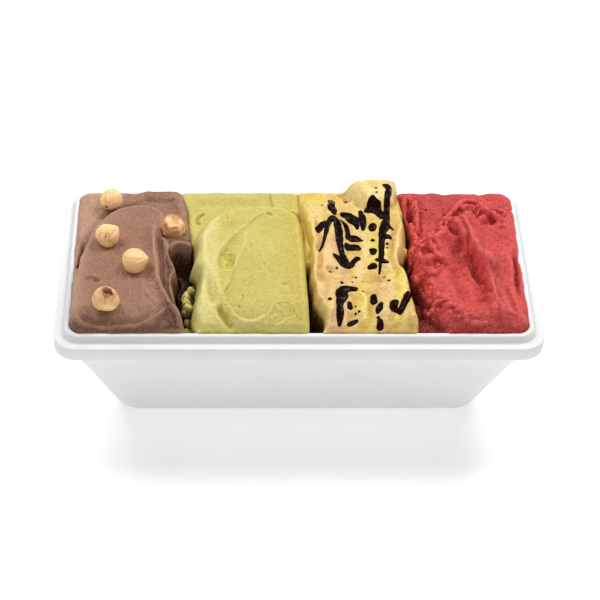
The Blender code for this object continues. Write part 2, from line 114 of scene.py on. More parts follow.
def smooth_curve(points, closed=False, per_span=6):
    """Catmull-Rom points through the control points."""
    points = np.asarray(points, float)
    count = len(points)
    out = []
    for i in range(count if closed else count - 1):
        around = [i - 1, i, i + 1, i + 2]
        if closed:
            around = [k % count for k in around]
        else:
            around = [min(max(k, 0), count - 1) for k in around]
        p0, p1, p2, p3 = points[around]
        for t in np.arange(per_span) / per_span:
            out.append(0.5 * (2 * p1 + (p2 - p0) * t + (2 * p0 - 5 * p1 + 4 * p2 - p3) * t * t
                              + (3 * p1 - p0 - 3 * p2 + p3) * t ** 3))
    if not closed:
        out.append(points[-1])
    return np.array(out)


def nearest(curve, x, y, closed=False):
    """Distance to a polyline, the side of it (+1 left, -1 right) and the share of its length."""
    starts = curve if closed else curve[:-1]
    ends = np.roll(curve, -1, axis=0) if closed else curve[1:]
    lengths = np.hypot(*(ends - starts).T)
    passed = np.concatenate([[0.0], np.cumsum(lengths)])
    best = np.full(x.shape, np.inf)
    side = np.ones(x.shape)
    along = np.zeros(x.shape)
    for start, end, length, before in zip(starts, ends, lengths, passed):
        dx, dy = end - start
        px, py = x - start[0], y - start[1]
        t = np.clip((px * dx + py * dy) / max(length * length, 1e-9), 0, 1)
        distance = np.hypot(px - t * dx, py - t * dy)
        closer = distance < best
        best = np.where(closer, distance, best)
        side = np.where(closer, np.sign(dx * py - dy * px), side)
        along = np.where(closer, (before + t * length) / passed[-1], along)
    return best, side, along


def depth_inside(outline, x, y):
    """Signed distance to a closed outline, positive inside."""
    curve = smooth_curve(outline, closed=True)
    distance, _, _ = nearest(curve, x, y, closed=True)
    inside = np.zeros(x.shape, bool)
    for (ax, ay), (bx, by) in zip(curve, np.roll(curve, -1, axis=0)):
        spans = (ay > y) != (by > y)
        inside ^= spans & (x < (bx - ax) * (y - ay) / (by - ay + 1e-12) + ax)
    return np.where(inside, distance, -distance)


# Noise

LATTICE_SIZE = 8192
LATTICE = np.random.RandomState(7).uniform(-1, 1, LATTICE_SIZE)
# These scatter neighbouring cells over the lattice
AXIS_PRIMES = (73856093, 19349663, 83492791)
SEED_STRIDE = 977
# How far the middle of a lump strays from the middle of its cell, in cells
BLOB_JITTER = 0.42


def noise(x, y, z, cell, seed=0):
    """Smooth random values from -1 to 1, about one cell across, at points in space."""
    total = 0.0
    floors, eases = [], []
    for value, shift in ((x, 0.13), (y, 0.57), (z, 0.91)):
        scaled = value / cell + shift + seed * 17.3
        low = np.floor(scaled)
        part = scaled - low
        floors.append(low.astype(np.int64))
        eases.append(part * part * part * (part * (part * 6 - 15) + 10))
    for corner in range(8):
        steps = [(corner >> k) & 1 for k in range(3)]
        weight = 1.0
        index = seed * SEED_STRIDE
        for low, ease, step, prime in zip(floors, eases, steps, AXIS_PRIMES):
            weight = weight * (ease if step else 1 - ease)
            index = index ^ ((low + step) * prime)
        total = total + weight * LATTICE[index & (LATTICE_SIZE - 1)]
    return total


def fractal(x, y, z, cell, octaves=3, seed=0, gain=0.5):
    """Layers of noise, each half the size of the last."""
    total, share = 0.0, 1.0
    for octave in range(octaves):
        size = cell / 2 ** octave
        total = total + share * noise(x + 3.1 * octave, y - 1.7 * octave, z, size, seed + octave)
        share *= gain
    return total


def blobs(x, y, z, cell, seed=0):
    """Rounded lumps about one cell across: 1 at their middles, near 0 in the clefts between them."""
    place = [x / cell + seed * 3.7, y / cell, z / cell]
    home = [np.floor(value).astype(np.int64) for value in place]
    best = np.full(x.shape, 4.0)
    for number in range(27):
        steps = (number % 3 - 1, number // 3 % 3 - 1, number // 9 - 1)
        cells = [low + step for low, step in zip(home, steps)]
        key = seed * SEED_STRIDE
        for value, prime in zip(cells, AXIS_PRIMES):
            key = key ^ (value * prime)
        distance = 0.0
        for axis, (value, low) in enumerate(zip(place, cells)):
            jitter = LATTICE[(key * (2 * axis + 1) + 131 * axis) & (LATTICE_SIZE - 1)]
            distance = distance + (value - low - 0.5 - BLOB_JITTER * jitter) ** 2
        best = np.minimum(best, distance)
    return np.maximum(1 - best, 0)


# Relief features, in millimetres

def soft_step(t):
    t = np.clip(t, 0, 1)
    return t * t * (3 - 2 * t)


def shoulder(distance, width):
    """0 at an edge, rounding over to 1 at width inside it."""
    return np.sin(math.pi / 2 * np.clip(distance / width, 0, 1))


def slab(x, y, outline, height, width):
    """A layer laid on top, with a rounded edge that is width wide."""
    return height * shoulder(depth_inside(outline, x, y), width)


def ridge(x, y, path, height, left, right, ends=0.15):
    """A crest along a path, falling off over left and right, or a groove if height is negative."""
    distance, side, along = nearest(smooth_curve(path), x, y)
    width = np.where(side > 0, left, right)
    fade = soft_step(along / ends) * soft_step((1 - along) / ends)
    return height * np.exp(-(distance / width) ** 2) * fade


def mound(x, y, centre, radii, height, turn=0.0, power=1.0):
    """A soft hump, or a dent if height is negative, on an ellipse turned by so many degrees."""
    angle = math.radians(turn)
    dx, dy = x - centre[0], y - centre[1]
    u = (dx * math.cos(angle) + dy * math.sin(angle)) / radii[0]
    v = (dy * math.cos(angle) - dx * math.sin(angle)) / radii[1]
    return height * np.exp(-(u * u + v * v) ** power)


LUMP_CELLS = 64
LUMP_SHIFT = 31.7


def lumps(x, y, cell, height, seed):
    """Smooth random unevenness about one cell across."""
    table = np.random.RandomState(seed).uniform(-1, 1, (LUMP_CELLS, LUMP_CELLS))
    u, v = x / cell + LUMP_SHIFT, y / cell + LUMP_SHIFT
    i, j = np.floor(u).astype(int) % LUMP_CELLS, np.floor(v).astype(int) % LUMP_CELLS
    s, t = soft_step(u - np.floor(u)), soft_step(v - np.floor(v))
    i2, j2 = (i + 1) % LUMP_CELLS, (j + 1) % LUMP_CELLS
    low = table[i, j] * (1 - s) + table[i2, j] * s
    high = table[i, j2] * (1 - s) + table[i2, j2] * s
    return height * (low * (1 - t) + high * t)


def pores(x, y, count, area, sizes, depth, seed):
    """Small burst bubbles: round pits at random in the box ((x0, y0), (x1, y1))."""
    draw = np.random.RandomState(seed)
    total = np.zeros(x.shape)
    for _ in range(count):
        px, py = draw.uniform(*area)
        size = draw.uniform(*sizes)
        near = (np.abs(x - px) < 3 * size) & (np.abs(y - py) < 3 * size)
        d2 = ((x[near] - px) ** 2 + (y[near] - py) ** 2) / size ** 2
        total[near] -= depth * size * (np.exp(-d2 ** 2) - 0.25 * np.exp(-(d2 - 1.6) ** 2))
    return total


def edge_rim(x, y, outline, height, inside, width):
    """A low rim that runs along an outline, so far inside it, or outside if that is negative."""
    return height * np.exp(-((depth_inside(outline, x, y) - inside) / width) ** 2)


def sunk(x, y, outline, height, width):
    """A flat floor inside an outline, with a soft wall that is width wide."""
    return height * soft_step(depth_inside(outline, x, y) / width + 0.5)


def forms(x, y, table):
    """The sum of a table of features."""
    total = np.zeros(x.shape)
    for shape, *facts in table:
        total = total + shape(x, y, *facts)
    return total


# The four tops: heights above the lip

# The small forms of the custard and the raspberry are this much stronger than their tables say
FORM_GAIN = 1.45
# A height that lies below every top
FAR_DOWN = -40.0
# How far the custard's least height along its sides drops where it doesn't apply
FILL_DROP = 24

CHOCOLATE_BASE = [(-134, 70), (-54, 70), (-54, 24), (-55.4, 7), (-60.5, 5.2), (-65.6, 7), (-68.2, 3),
                  (-67.6, -3), (-65.6, -9), (-64.8, -15), (-66.8, -22), (-65.6, -31.5), (-63, -44),
                  (-60.2, -53), (-58, -70), (-134, -70)]
CHOCOLATE_FOLD = [(-96, 24), (-80, 22), (-71, 12), (-68.6, 5), (-67.8, -1), (-65.7, -9.5), (-65, -15),
                  (-67, -22), (-65.8, -31.5), (-63.2, -44), (-60.2, -56), (-60, -74), (-98, -74)]
CHOCOLATE_SLAB = [(-132, -74), (-126, -22), (-118, 0), (-115, 16), (-109, 29), (-101, 37), (-91, 40.5),
                  (-81, 39.5), (-74, 34), (-72, 24), (-75.5, 12), (-75.5, 0), (-74, -12), (-73.5, -22),
                  (-71, -31), (-67, -40), (-61, -52), (-58, -74)]


def chocolate_top(x, y):
    z = GUTTER_LEVEL + slab(x, y, CHOCOLATE_BASE, 2.2 - GUTTER_LEVEL, 3.0)
    z += slab(x, y, CHOCOLATE_FOLD, 2.4, 2.6) * soft_step((x + 86) / 9)
    z += slab(x, y, CHOCOLATE_SLAB, 5.4, 3.6)
    z += mound(x, y, (-72, 52), (15, 9), 1.8, 10)
    z += ridge(x, y, [(-84, -2), (-82, -18), (-77, -32), (-70, -44)], -0.8, 3.0, 5.0)
    z += mound(x, y, (-111, -22), (3.0, 2.0), 1.4, 20)
    z += mound(x, y, (-94, -8), (14, 26), 0.9)
    return z + lumps(x, y, 17, 0.35, 3)


CHOCOLATE_CREST = [(-79, 26), (-79, 15), (-76.7, 1.5), (-75.4, -13), (-75.1, -22), (-72.7, -33),
                   (-68.9, -43.7), (-65.7, -54)]
CHOCOLATE_FORMS = [
    (edge_rim, CHOCOLATE_SLAB, 0.9, 2.4, 1.7),
    (ridge, [(-119, 4), (-114, 24), (-106, 37), (-94, 44), (-84, 43)], -1.8, 2.2, 5),
    (ridge, [(-90.6, 45.6), (-85.2, 50.5), (-78.9, 51.5), (-69.5, 49.6), (-64.3, 41.7), (-61, 30)],
             1.7, 4, 3),
    (ridge, [(-87, 48), (-75.7, 47.3), (-71.9, 46.6), (-64, 46.5)], -0.5, 1.2, 1.6),
    (ridge, [(-101, 41), (-95, 47), (-88, 52), (-80, 55)], 0.9, 2.4, 3.4),
    (ridge, [(-118, 46), (-111, 51), (-103, 50)], 1.2, 2.5, 2.5),
    (ridge, CHOCOLATE_CREST, 1.1, 1.2, 3),
    (ridge, [(-76.9, 19), (-74.2, -1.7), (-73.3, -23.7), (-69.7, -37), (-65.3, -49)], -1.5, 1.3, 1),
    (ridge, [(-70.9, 10.6), (-69.4, -0.6), (-67.4, -9.8), (-66.7, -15.3), (-68.9, -21.6), (-67.5, -31.5),
             (-64.8, -44.7)], 1.9, 1.1, 2.2),
    (ridge, [(-72, 4), (-71.4, -8), (-70.5, -20), (-70, -30)], -0.9, 0.8, 0.8),
    (mound, (-63, 10), (9, 3.2), 2, -6),
    (mound, (-67, 15), (9.5, 3.4), 1.8, 0),
    (mound, (-59.5, 8.4), (3, 2.4), 1.2, 0),
    (mound, (-66, 30), (8, 5), 1.2),
    (ridge, [(-66.6, -4), (-64.6, -9), (-63.2, -15), (-65, -22), (-63.8, -30), (-62, -38)],
             12, 0.9, 0.9, 0.1),
    (ridge, [(-64.5, -8), (-62, -12), (-62.2, -18), (-64, -22)], 11, 0.8, 0.8, 0.2),
    (ridge, [(-119, -49), (-114, -55.4), (-104, -57.2), (-92, -57), (-82, -55.8), (-75, -52.6),
             (-69, -46.5)], 2.6, 1.7, 1.6, 0.1),
    (ridge, [(-115, -49), (-108, -53.4), (-96, -54), (-84, -52.4), (-76, -47.5)], -1, 2.2, 1.6),
    (ridge, [(-69, -46.5), (-65.5, -50), (-63, -55)], 2.2, 1.8, 1.8, 0.2),
    (ridge, [(-83.3, -34.6), (-79, -41.7), (-75.3, -46.9)], -0.5, 0.5, 0.5),
    (ridge, [(-117.4, 18), (-118.4, 4), (-119.3, -9), (-120, -22)], -6, 0.9, 1.4, 0.4),
    (ridge, [(-91, -21), (-90.6, -29), (-90.2, -38)], 0.55, 0.5, 0.5, 0.2),
    (mound, (-90, -39.5), (0.9, 1.1), 0.8),
    (ridge, [(-94.5, -16), (-95, -22), (-92, -25)], 0.5, 0.7, 0.7),
    (mound, (-112, -22), (2.6, 1.1), 1.2, 12),
    (mound, (-108.5, -24.5), (1.8, 1.3), -1.2),
    (mound, (-79, -29.5), (1.9, 1.4), 1.1),
    (ridge, [(-86, -14), (-84, -26), (-80, -38)], 0.5, 2, 2),
    (ridge, [(-115, -47.5), (-111.5, -50), (-109.5, -51.5)], 0.8, 0.6, 0.8),
    (ridge, [(-98, 28), (-92, 31), (-86, 30)], -0.3, 1.5, 1.5),
]


def chocolate_detail(x, y):
    z = forms(x + 0.4 * noise(x, y, 0, 3.4, 17), y + 0.4 * noise(x, y, 0, 3.4, 18), CHOCOLATE_FORMS)
    z += 0.3 * noise(x, y, 0, 7.0, 2) + 0.1 * noise(x, y, 0, 2.6, 19) + 0.06 * fractal(x, y, 0, 0.9, 2, 5)
    return z + pores(x, y, 260, ((-121, -56), (-62, 56)), (0.18, 0.42), 0.7, 11)


PISTACHIO_BASE = [(-70, 70), (12, 70), (12, -70), (-52.5, -70), (-55, -58), (-57.6, -47), (-57, -39),
                  (-56, -31), (-56.2, -20), (-57.4, -13), (-57.6, -2), (-58.4, 8), (-64, 18)]
PISTACHIO_SLAB = [(-57.4, 2), (-56.2, 14), (-52.6, 24), (-47.6, 31), (-41.6, 36), (-34, 39.2), (-22, 40.5),
                  (-11, 40), (-3, 37.5), (2.5, 32), (5, 22), (7, 4), (9, -30), (11, -74), (-54, -74),
                  (-57, -46), (-56, -31), (-57.4, -14)]
PISTACHIO_STEP = [(-14, 70), (-14, 44), (-10, 40), (10, 40), (10, 70)]


def pistachio_top(x, y):
    z = GUTTER_LEVEL + slab(x, y, PISTACHIO_BASE, 1.2 - GUTTER_LEVEL, 4.5)
    z += slab(x, y, PISTACHIO_SLAB, 8.0, 6.5)
    z += slab(x, y, PISTACHIO_STEP, 1.6, 2.0)
    z += mound(x, y, (-27, -6), (22, 30), 1.8)
    z += ridge(x, y, [(-30, 12), (-36, 3), (-41, -6), (-42, -16), (-38, -21)], -1.8, 3.4, 2.4, 0.25)
    z += ridge(x, y, [(-51, 16), (-51, -4), (-50, -20), (-46, -34), (-43, -46)], 0.9, 2.6, 3.0)
    z += ridge(x, y, [(-54, -14), (-52, -24), (-48, -36), (-46, -46)], -1.4, 2.2, 2.0)
    z += ridge(x, y, [(-39, -48), (-33, -54), (-25, -57), (-18, -55), (-11, -49)], 1.2, 2.0, 2.4)
    z += ridge(x, y, [(-44, -47), (-40, -51), (-36, -56), (-33, -60)], -1.8, 2.0, 1.8)
    return z + lumps(x, y, 15, 0.4, 8)


PISTACHIO_CRATER = [(-29.6, 16.4), (-36.7, 7.2), (-40.8, -0.1), (-43.1, -7.3), (-43.1, -12.7),
                    (-40.7, -17.1), (-36.6, -18), (-34.3, -10.9), (-32, -0.1), (-29.4, 10.9)]
PISTACHIO_SWIPE = [(-13, 32), (-22, 27.5), (-29.4, 17), (-29.2, 10.9), (-32, 3.5), (-33.7, -7.3),
                   (-34.9, -16.2), (-36.6, -23.2), (-37.5, -28.5), (-40, -34), (-40.2, -39), (-37.5, -45),
                   (-34, -50.5), (-28.6, -53.2), (-22.9, -52.7), (-17, -50), (-12.6, -44), (-2, -38),
                   (2, -20), (2, 0), (1, 18), (-4, 30)]
PISTACHIO_PATCH = [(-18.2, -52.8), (-15.6, -48.8), (-12.4, -44.2), (-8.8, -43.2), (-5.2, -44.8),
                   (-2.8, -47.4), (-3.4, -50.8), (-7.4, -52.4), (-11.6, -55), (-16.6, -56)]
PISTACHIO_FORMS = [
    (sunk, PISTACHIO_CRATER, -1, 2.2),
    (edge_rim, PISTACHIO_CRATER, 0.35, -0.9, 1.4),
    (sunk, [(-39.2, -4.5), (-35, -5.5), (-34.6, -14.5), (-38.8, -15.2)], -1.2, 1.8),
    (mound, (-37.2, -8.6), (1.4, 2.8), -1.1, 10, 1.3),
    (mound, (-38.7, -12.6), (1, 1.2), -0.8),
    (mound, (-35.8, -12.8), (0.8, 1.4), -0.8),
    (sunk, PISTACHIO_PATCH, -0.45, 1.3),
    (edge_rim, PISTACHIO_PATCH, 0.16, -0.5, 0.7),
    (ridge, [(-12.4, -45), (-10.6, -49), (-11, -54)], 0.35, 0.6, 0.8),
    (ridge, PISTACHIO_SWIPE[:16], 0.32, 0.5, 2.8, 0.06),
    (ridge, [(-50.4, -14), (-48.4, -26), (-46.2, -37), (-43, -45)], -1.1, 2.2, 2.4, 0.3),
    (mound, (-53.6, -27), (3, 7), 1.4, 0),
    (ridge, [(-51.5, 16), (-51, -4), (-47.6, -18), (-44.2, -27), (-42.6, -36), (-41.5, -43)], 1.3, 2.6, 2.6),
    (ridge, [(-43.6, -44.6), (-41.4, -49), (-38.4, -53), (-34.6, -56.6)], -2.4, 1.4, 2, 0.2),
    (ridge, [(-38, -45.5), (-34.5, -51.5), (-29, -54.5), (-22, -54), (-17, -51)], 0.9, 1.3, 1.1, 0.1),
    (ridge, [(-56.5, -36), (-53, -39.5), (-50, -39)], 0.5, 1.6, 1.2, 0.4),
    (ridge, [(-58, -46), (-55.5, -51), (-54.5, -57)], 0.9, 2, 1.6, 0.3),
    (ridge, [(-50.5, 39.5), (-54.5, 36.5), (-55.5, 32), (-53, 29.5)], -1.8, 0.9, 1.3),
    (ridge, [(-17.6, 30.6), (-15.6, 29.8), (-13.4, 27.9)], -1.3, 0.8, 0.6, 0.3),
    (ridge, [(-33, -44), (-31.4, -46)], -1, 0.5, 0.5, 0.3),
    (ridge, [(-31, -36), (-30.4, -40), (-31.2, -43)], -0.7, 0.4, 0.4, 0.3),
    (mound, (-25.6, 1.4), (0.9, 1.6), -0.8, 20),
    (mound, (-19, -13.6), (0.6, 0.6), -0.9),
    (ridge, [(-10.6, -28), (-7.5, -29.2), (-5.5, -28)], -0.9, 0.9, 0.9, 0.3),
    (ridge, [(-5.9, -27.6), (-2.7, -38)], -0.45, 0.5, 0.5),
    (mound, (-7.6, -34), (2, 2.2), 0.5),
    (mound, (-58.4, -12.5), (2, 3.6), 3, 10),
    (ridge, [(-64, 16), (-62, 9), (-60.8, -3), (-60.8, -12), (-62, -22)], -15, 2.3, 6, 0.14),
    (ridge, [(-61, -16), (-60, -28), (-60.5, -42), (-60.5, -58)], -7, 3.2, 6, 0.1),
    (ridge, [(-58, 52), (-40, 53), (-20, 52.5)], 0.9, 2.4, 2.4),
    (ridge, [(-58, 46.5), (-40, 47), (-18, 46.5)], -0.8, 2.6, 2.6),
]


# Crumbled clumps at the edge of the crevice: x, y, their two radii and the top's height above the lip
PISTACHIO_CLUMPS = [(-56.6, -22, 2.2, 3, -0.6), (-58.4, -27, 2.6, 3.4, 0.6), (-58.8, -32, 3.4, 3.4, 0.9),
                    (-57.2, -36, 3, 3.4, 0.4), (-59.4, -38.5, 2, 2.6, -1.6), (-58.4, -46, 2.4, 4, -3.6),
                    (-58, -54.5, 3.2, 4, -2.2)]


def clump_tops(x, y):
    """Heights of the crumbled clumps, far down where there is none."""
    crumbs = 1.3 * blobs(x, y, 0, 2.3, 5) + 0.9 * blobs(x, y, 0, 1.2, 6) - 1.2
    total = np.full(x.shape, FAR_DOWN)
    for px, py, rx, ry, top in PISTACHIO_CLUMPS:
        d2 = ((x - px) / rx) ** 2 + ((y - py) / ry) ** 2
        total = np.maximum(total, top + crumbs - 3.0 * d2 - 9.0 * np.maximum(d2 - 1, 0))
    return total


def pistachio_lean(x, y):
    """How far the pistachio's wavy left edge hangs over the crevice."""
    edge = soft_step((-51.5 - x) / 5)
    clumps = 1.6 * np.exp(-((y + 31) / 8) ** 2) + 0.8 * np.exp(-((y + 54) / 6) ** 2)
    nub = 2.0 * np.exp(-((y + 11.5) / 2.6) ** 2)
    waves = 1.5 * soft_step((14 - y) / 12) * (1 + 0.5 * noise(x, y, 0, 6.0, 36))
    return -edge * (clumps * (1 + 0.5 * noise(x, y, 0, 3.0, 33)) + nub + waves)


def pistachio_detail(x, y):
    z = forms(x + 0.5 * noise(x, y, 0, 3.6, 34), y + 0.5 * noise(x, y, 0, 3.6, 35), PISTACHIO_FORMS)
    z -= 0.6 * soft_step(depth_inside(PISTACHIO_SWIPE, x, y) / 1.0) * soft_step((-8 - x) / 16)
    inside = np.maximum(soft_step(depth_inside(PISTACHIO_CRATER, x, y) / 1.5) * soft_step((2 - y) / 4),
                        soft_step(depth_inside(PISTACHIO_PATCH, x, y) / 1.2))
    inside = np.maximum(inside, mound(x, y, (-39, 26), (4.6, 5.5), 1.0, 0, 2.0))
    z += inside * 0.34 * fractal(x, y, 0, 1.2, 3, 21)
    z += 0.2 * noise(x, y, 0, 5.0, 4) + 0.07 * fractal(x, y, 0, 1.0, 2, 9)
    z += 0.07 * noise(x, y * 0.22, 0, 1.6, 31) * mound(x, y, (-18, -12), (20, 34), 1.0)
    z += pores(x, y, 900, ((-38, -54), (2, 34)), (0.18, 0.40), 1.1, 12)
    z += pores(x, y, 50, ((-44, 18), (-34, 32)), (0.2, 0.6), 1.0, 13)
    z += pores(x, y, 90, ((-42, -50), (-34, -16)), (0.2, 0.55), 1.1, 17)
    return z + pores(x, y, 40, ((-37, -48), (-16, -8)), (0.22, 0.5), 1.5, 14)


CUSTARD_BASE = [(-4, 74), (-2, 42), (0, 28), (2, 16), (3.5, 2), (3, -12), (4.5, -26), (4.5, -36), (8, -44),
                (11, -50), (11, -74), (62, -74), (65, -56), (65, -43), (63, -30), (61, -16), (58.5, -6),
                (61, 2), (63, 17), (62, 30), (59, 42), (57, 74)]
CUSTARD_PEAK = [(26, 72), (29, 50), (35, 37), (46, 33), (55, 37), (58, 48), (60, 72)]


def custard_top(x, y):
    z = GUTTER_LEVEL + slab(x, y, CUSTARD_BASE, 7.6 - GUTTER_LEVEL, 5.5)
    z += slab(x, y, CUSTARD_PEAK, 5.2, 8.0)
    z += mound(x, y, (50, 28), (9, 26), 2.4)
    z -= 4.6 * soft_step((y - 36) / 18) * soft_step((31 - x) / 8)
    z -= 1.6 * soft_step((8 - x) / 7) * soft_step((y - 20) / 24)
    z += ridge(x, y, [(8, 50), (10, 30), (12, 12), (12, -6), (12, -24)], 1.6, 6.0, 4.0)
    z += ridge(x, y, [(28, 46), (27, 30), (25, 12), (28, -6)], -1.6, 6.0, 5.0)
    z += ridge(x, y, [(22, -26), (32, -22), (42, -20), (52, -12)], -1.2, 5.0, 4.0)
    z += ridge(x, y, [(38, -30), (38, -44), (36, -60)], -1.8, 3.5, 3.5)
    z += ridge(x, y, [(52, -12), (55, -26), (55, -40), (52, -56)], 1.3, 3.0, 4.0)
    return z + lumps(x, y, 12, 0.6, 5)


CUSTARD_FORMS = [
    (ridge, [(4.6, -4), (4.8, -16), (5.2, -30), (6.2, -38)], -9, 1, 2.6),
    (mound, (8.4, -45.5), (3, 8), -16, 18, 2),
    (ridge, [(35, -33), (35.2, -44), (34.7, -56)], 1.7, 2, 2.4),
    (ridge, [(28, -34), (27.5, -46), (27, -56)], -0.8, 2.2, 2.2),
    (ridge, [(17, -22), (17.5, -38), (16, -52)], 0.9, 2.5, 2.5),
    (ridge, [(50.5, -47), (50.8, -56)], 1.5, 1.8, 1.6),
    (ridge, [(4, 40), (7, 28), (8.4, 14), (9.2, 0), (9, -14), (8.6, -28)], 1.2, 1.8, 1.6),
    (ridge, [(8, 30), (11.4, 16), (12.4, 2), (12.2, -14), (12.8, -28)], -1, 1.6, 1.6),
    (ridge, [(57.6, 40), (58.6, 28), (56.6, 14), (54, 2), (55.6, -8), (58, -20), (59, -32)], 1.2, 1.6, 2.2),
    (ridge, [(52.6, 34), (54, 22), (52.4, 8), (50.6, -2), (52, -14), (54, -26)], -1, 2, 1.6),
    (mound, (41, -21), (6, 4.2), -1.6, 20),
    (mound, (48, -27), (4.4, 6.5), 1.3, -15),
    (mound, (44, -30), (2.6, 3), 0.7),
    (mound, (61, -52), (2.6, 3.4), 2.6),
    (ridge, [(62.8, -46), (63.6, -52), (61.6, -56)], 1, 1.2, 1.2),
    (ridge, [(24, 56), (27.5, 50), (28.5, 42)], -1.6, 2.4, 1.6),
    (ridge, [(36, 54), (40, 44), (38, 36)], 0.9, 2.2, 2.2),
    (ridge, [(14, 40), (20, 22), (18, 6)], 0.8, 3, 3),
    (ridge, [(33, 10), (36, -2), (33, -14)], 0.8, 2.6, 2.6),
    (ridge, [(14, -14), (22, -17), (30, -18)], -0.9, 2.2, 2.2),
]


def custard_fill(x, y):
    """The least height along the sides where the custard touches its neighbours."""
    left = 3.4 - FILL_DROP * soft_step((-5 - y) / 9) - FILL_DROP * soft_step((x - 14) / 8)
    right = 2.6 - FILL_DROP * soft_step(np.abs(y - 8) / 9) - FILL_DROP * soft_step((50 - x) / 8)
    back = 3.0 - FILL_DROP * soft_step((40 - y) / 8)
    return np.maximum(np.maximum(left, right), back)


def custard_detail(x, y):
    warped = x + 1.1 * noise(x, y, 0, 6.0, 24)
    z = FORM_GAIN * forms(warped, y + 0.8 * noise(x, y, 0, 5.0, 25), CUSTARD_FORMS)
    z += 0.7 * noise(x, y, 0, 7.0, 6) + 0.34 * noise(x, y, 0, 3.0, 7)
    z += 0.05 * fractal(x, y, 0, 0.9, 2, 8)
    return z + pores(x, y, 120, ((8, -54), (56, 40)), (0.15, 0.5), 0.9, 15)


RASPBERRY_FLOOR = -7.5
RASPBERRY_BASE = [(52, 74), (134, 74), (134, -74), (84, -74), (76, -58), (74, -46), (69, -34), (67, -22),
                  (63, -8), (59, 6), (60, 22), (58, 40)]
RASPBERRY_CURL = [(86, 31), (80, 22), (72, 13), (65, 4), (60.5, -7), (61.5, -20), (66, -30), (69, -38),
                  (71, -46), (76, -54), (86, -66), (104, -74), (104, -44), (100, -26), (96, -10), (94, 8),
                  (92, 24)]
RASPBERRY_RIDGE = [(87, 38), (93, 28), (96, 16), (98, 4), (100, -8), (102, -20), (104, -34), (107, -48),
                   (112, -66)]


def raspberry_top(x, y):
    z = RASPBERRY_FLOOR + 3.0 * soft_step((-42 - y) / 8)
    z += slab(x, y, RASPBERRY_BASE, 1.0 - RASPBERRY_FLOOR, 5.0)
    z += slab(x, y, RASPBERRY_CURL, 5.8, 3.6)
    z += ridge(x, y, RASPBERRY_RIDGE, 6.4, 9.0, 4.0, 0.12)
    z += ridge(x, y, [(82, 26), (80, 17), (72, 9), (66, 0), (63, -12)], 2.4, 3.0, 3.0)
    z += ridge(x, y, [(84, 16), (88, 0), (88, -20), (92, -44)], -4.0, 6.0, 6.0)
    z += ridge(x, y, [(90, 40), (98, 43), (104, 38), (105, 28)], 3.2, 2.6, 2.6)
    z += ridge(x, y, [(104, 36), (111, 34), (115, 28)], 2.2, 2.4, 2.4)
    z += ridge(x, y, [(64, 53), (67, 43), (64, 32), (62, 20)], 2.2, 2.6, 2.6)
    z += mound(x, y, (104, -9), (4.0, 5.5), 2.6, 20)
    z += mound(x, y, (71, -12), (4.0, 4.0), 2.2)
    z += mound(x, y, (70, -42), (3.5, 3.0), 3.0)
    return z + lumps(x, y, 8, 0.8, 12)


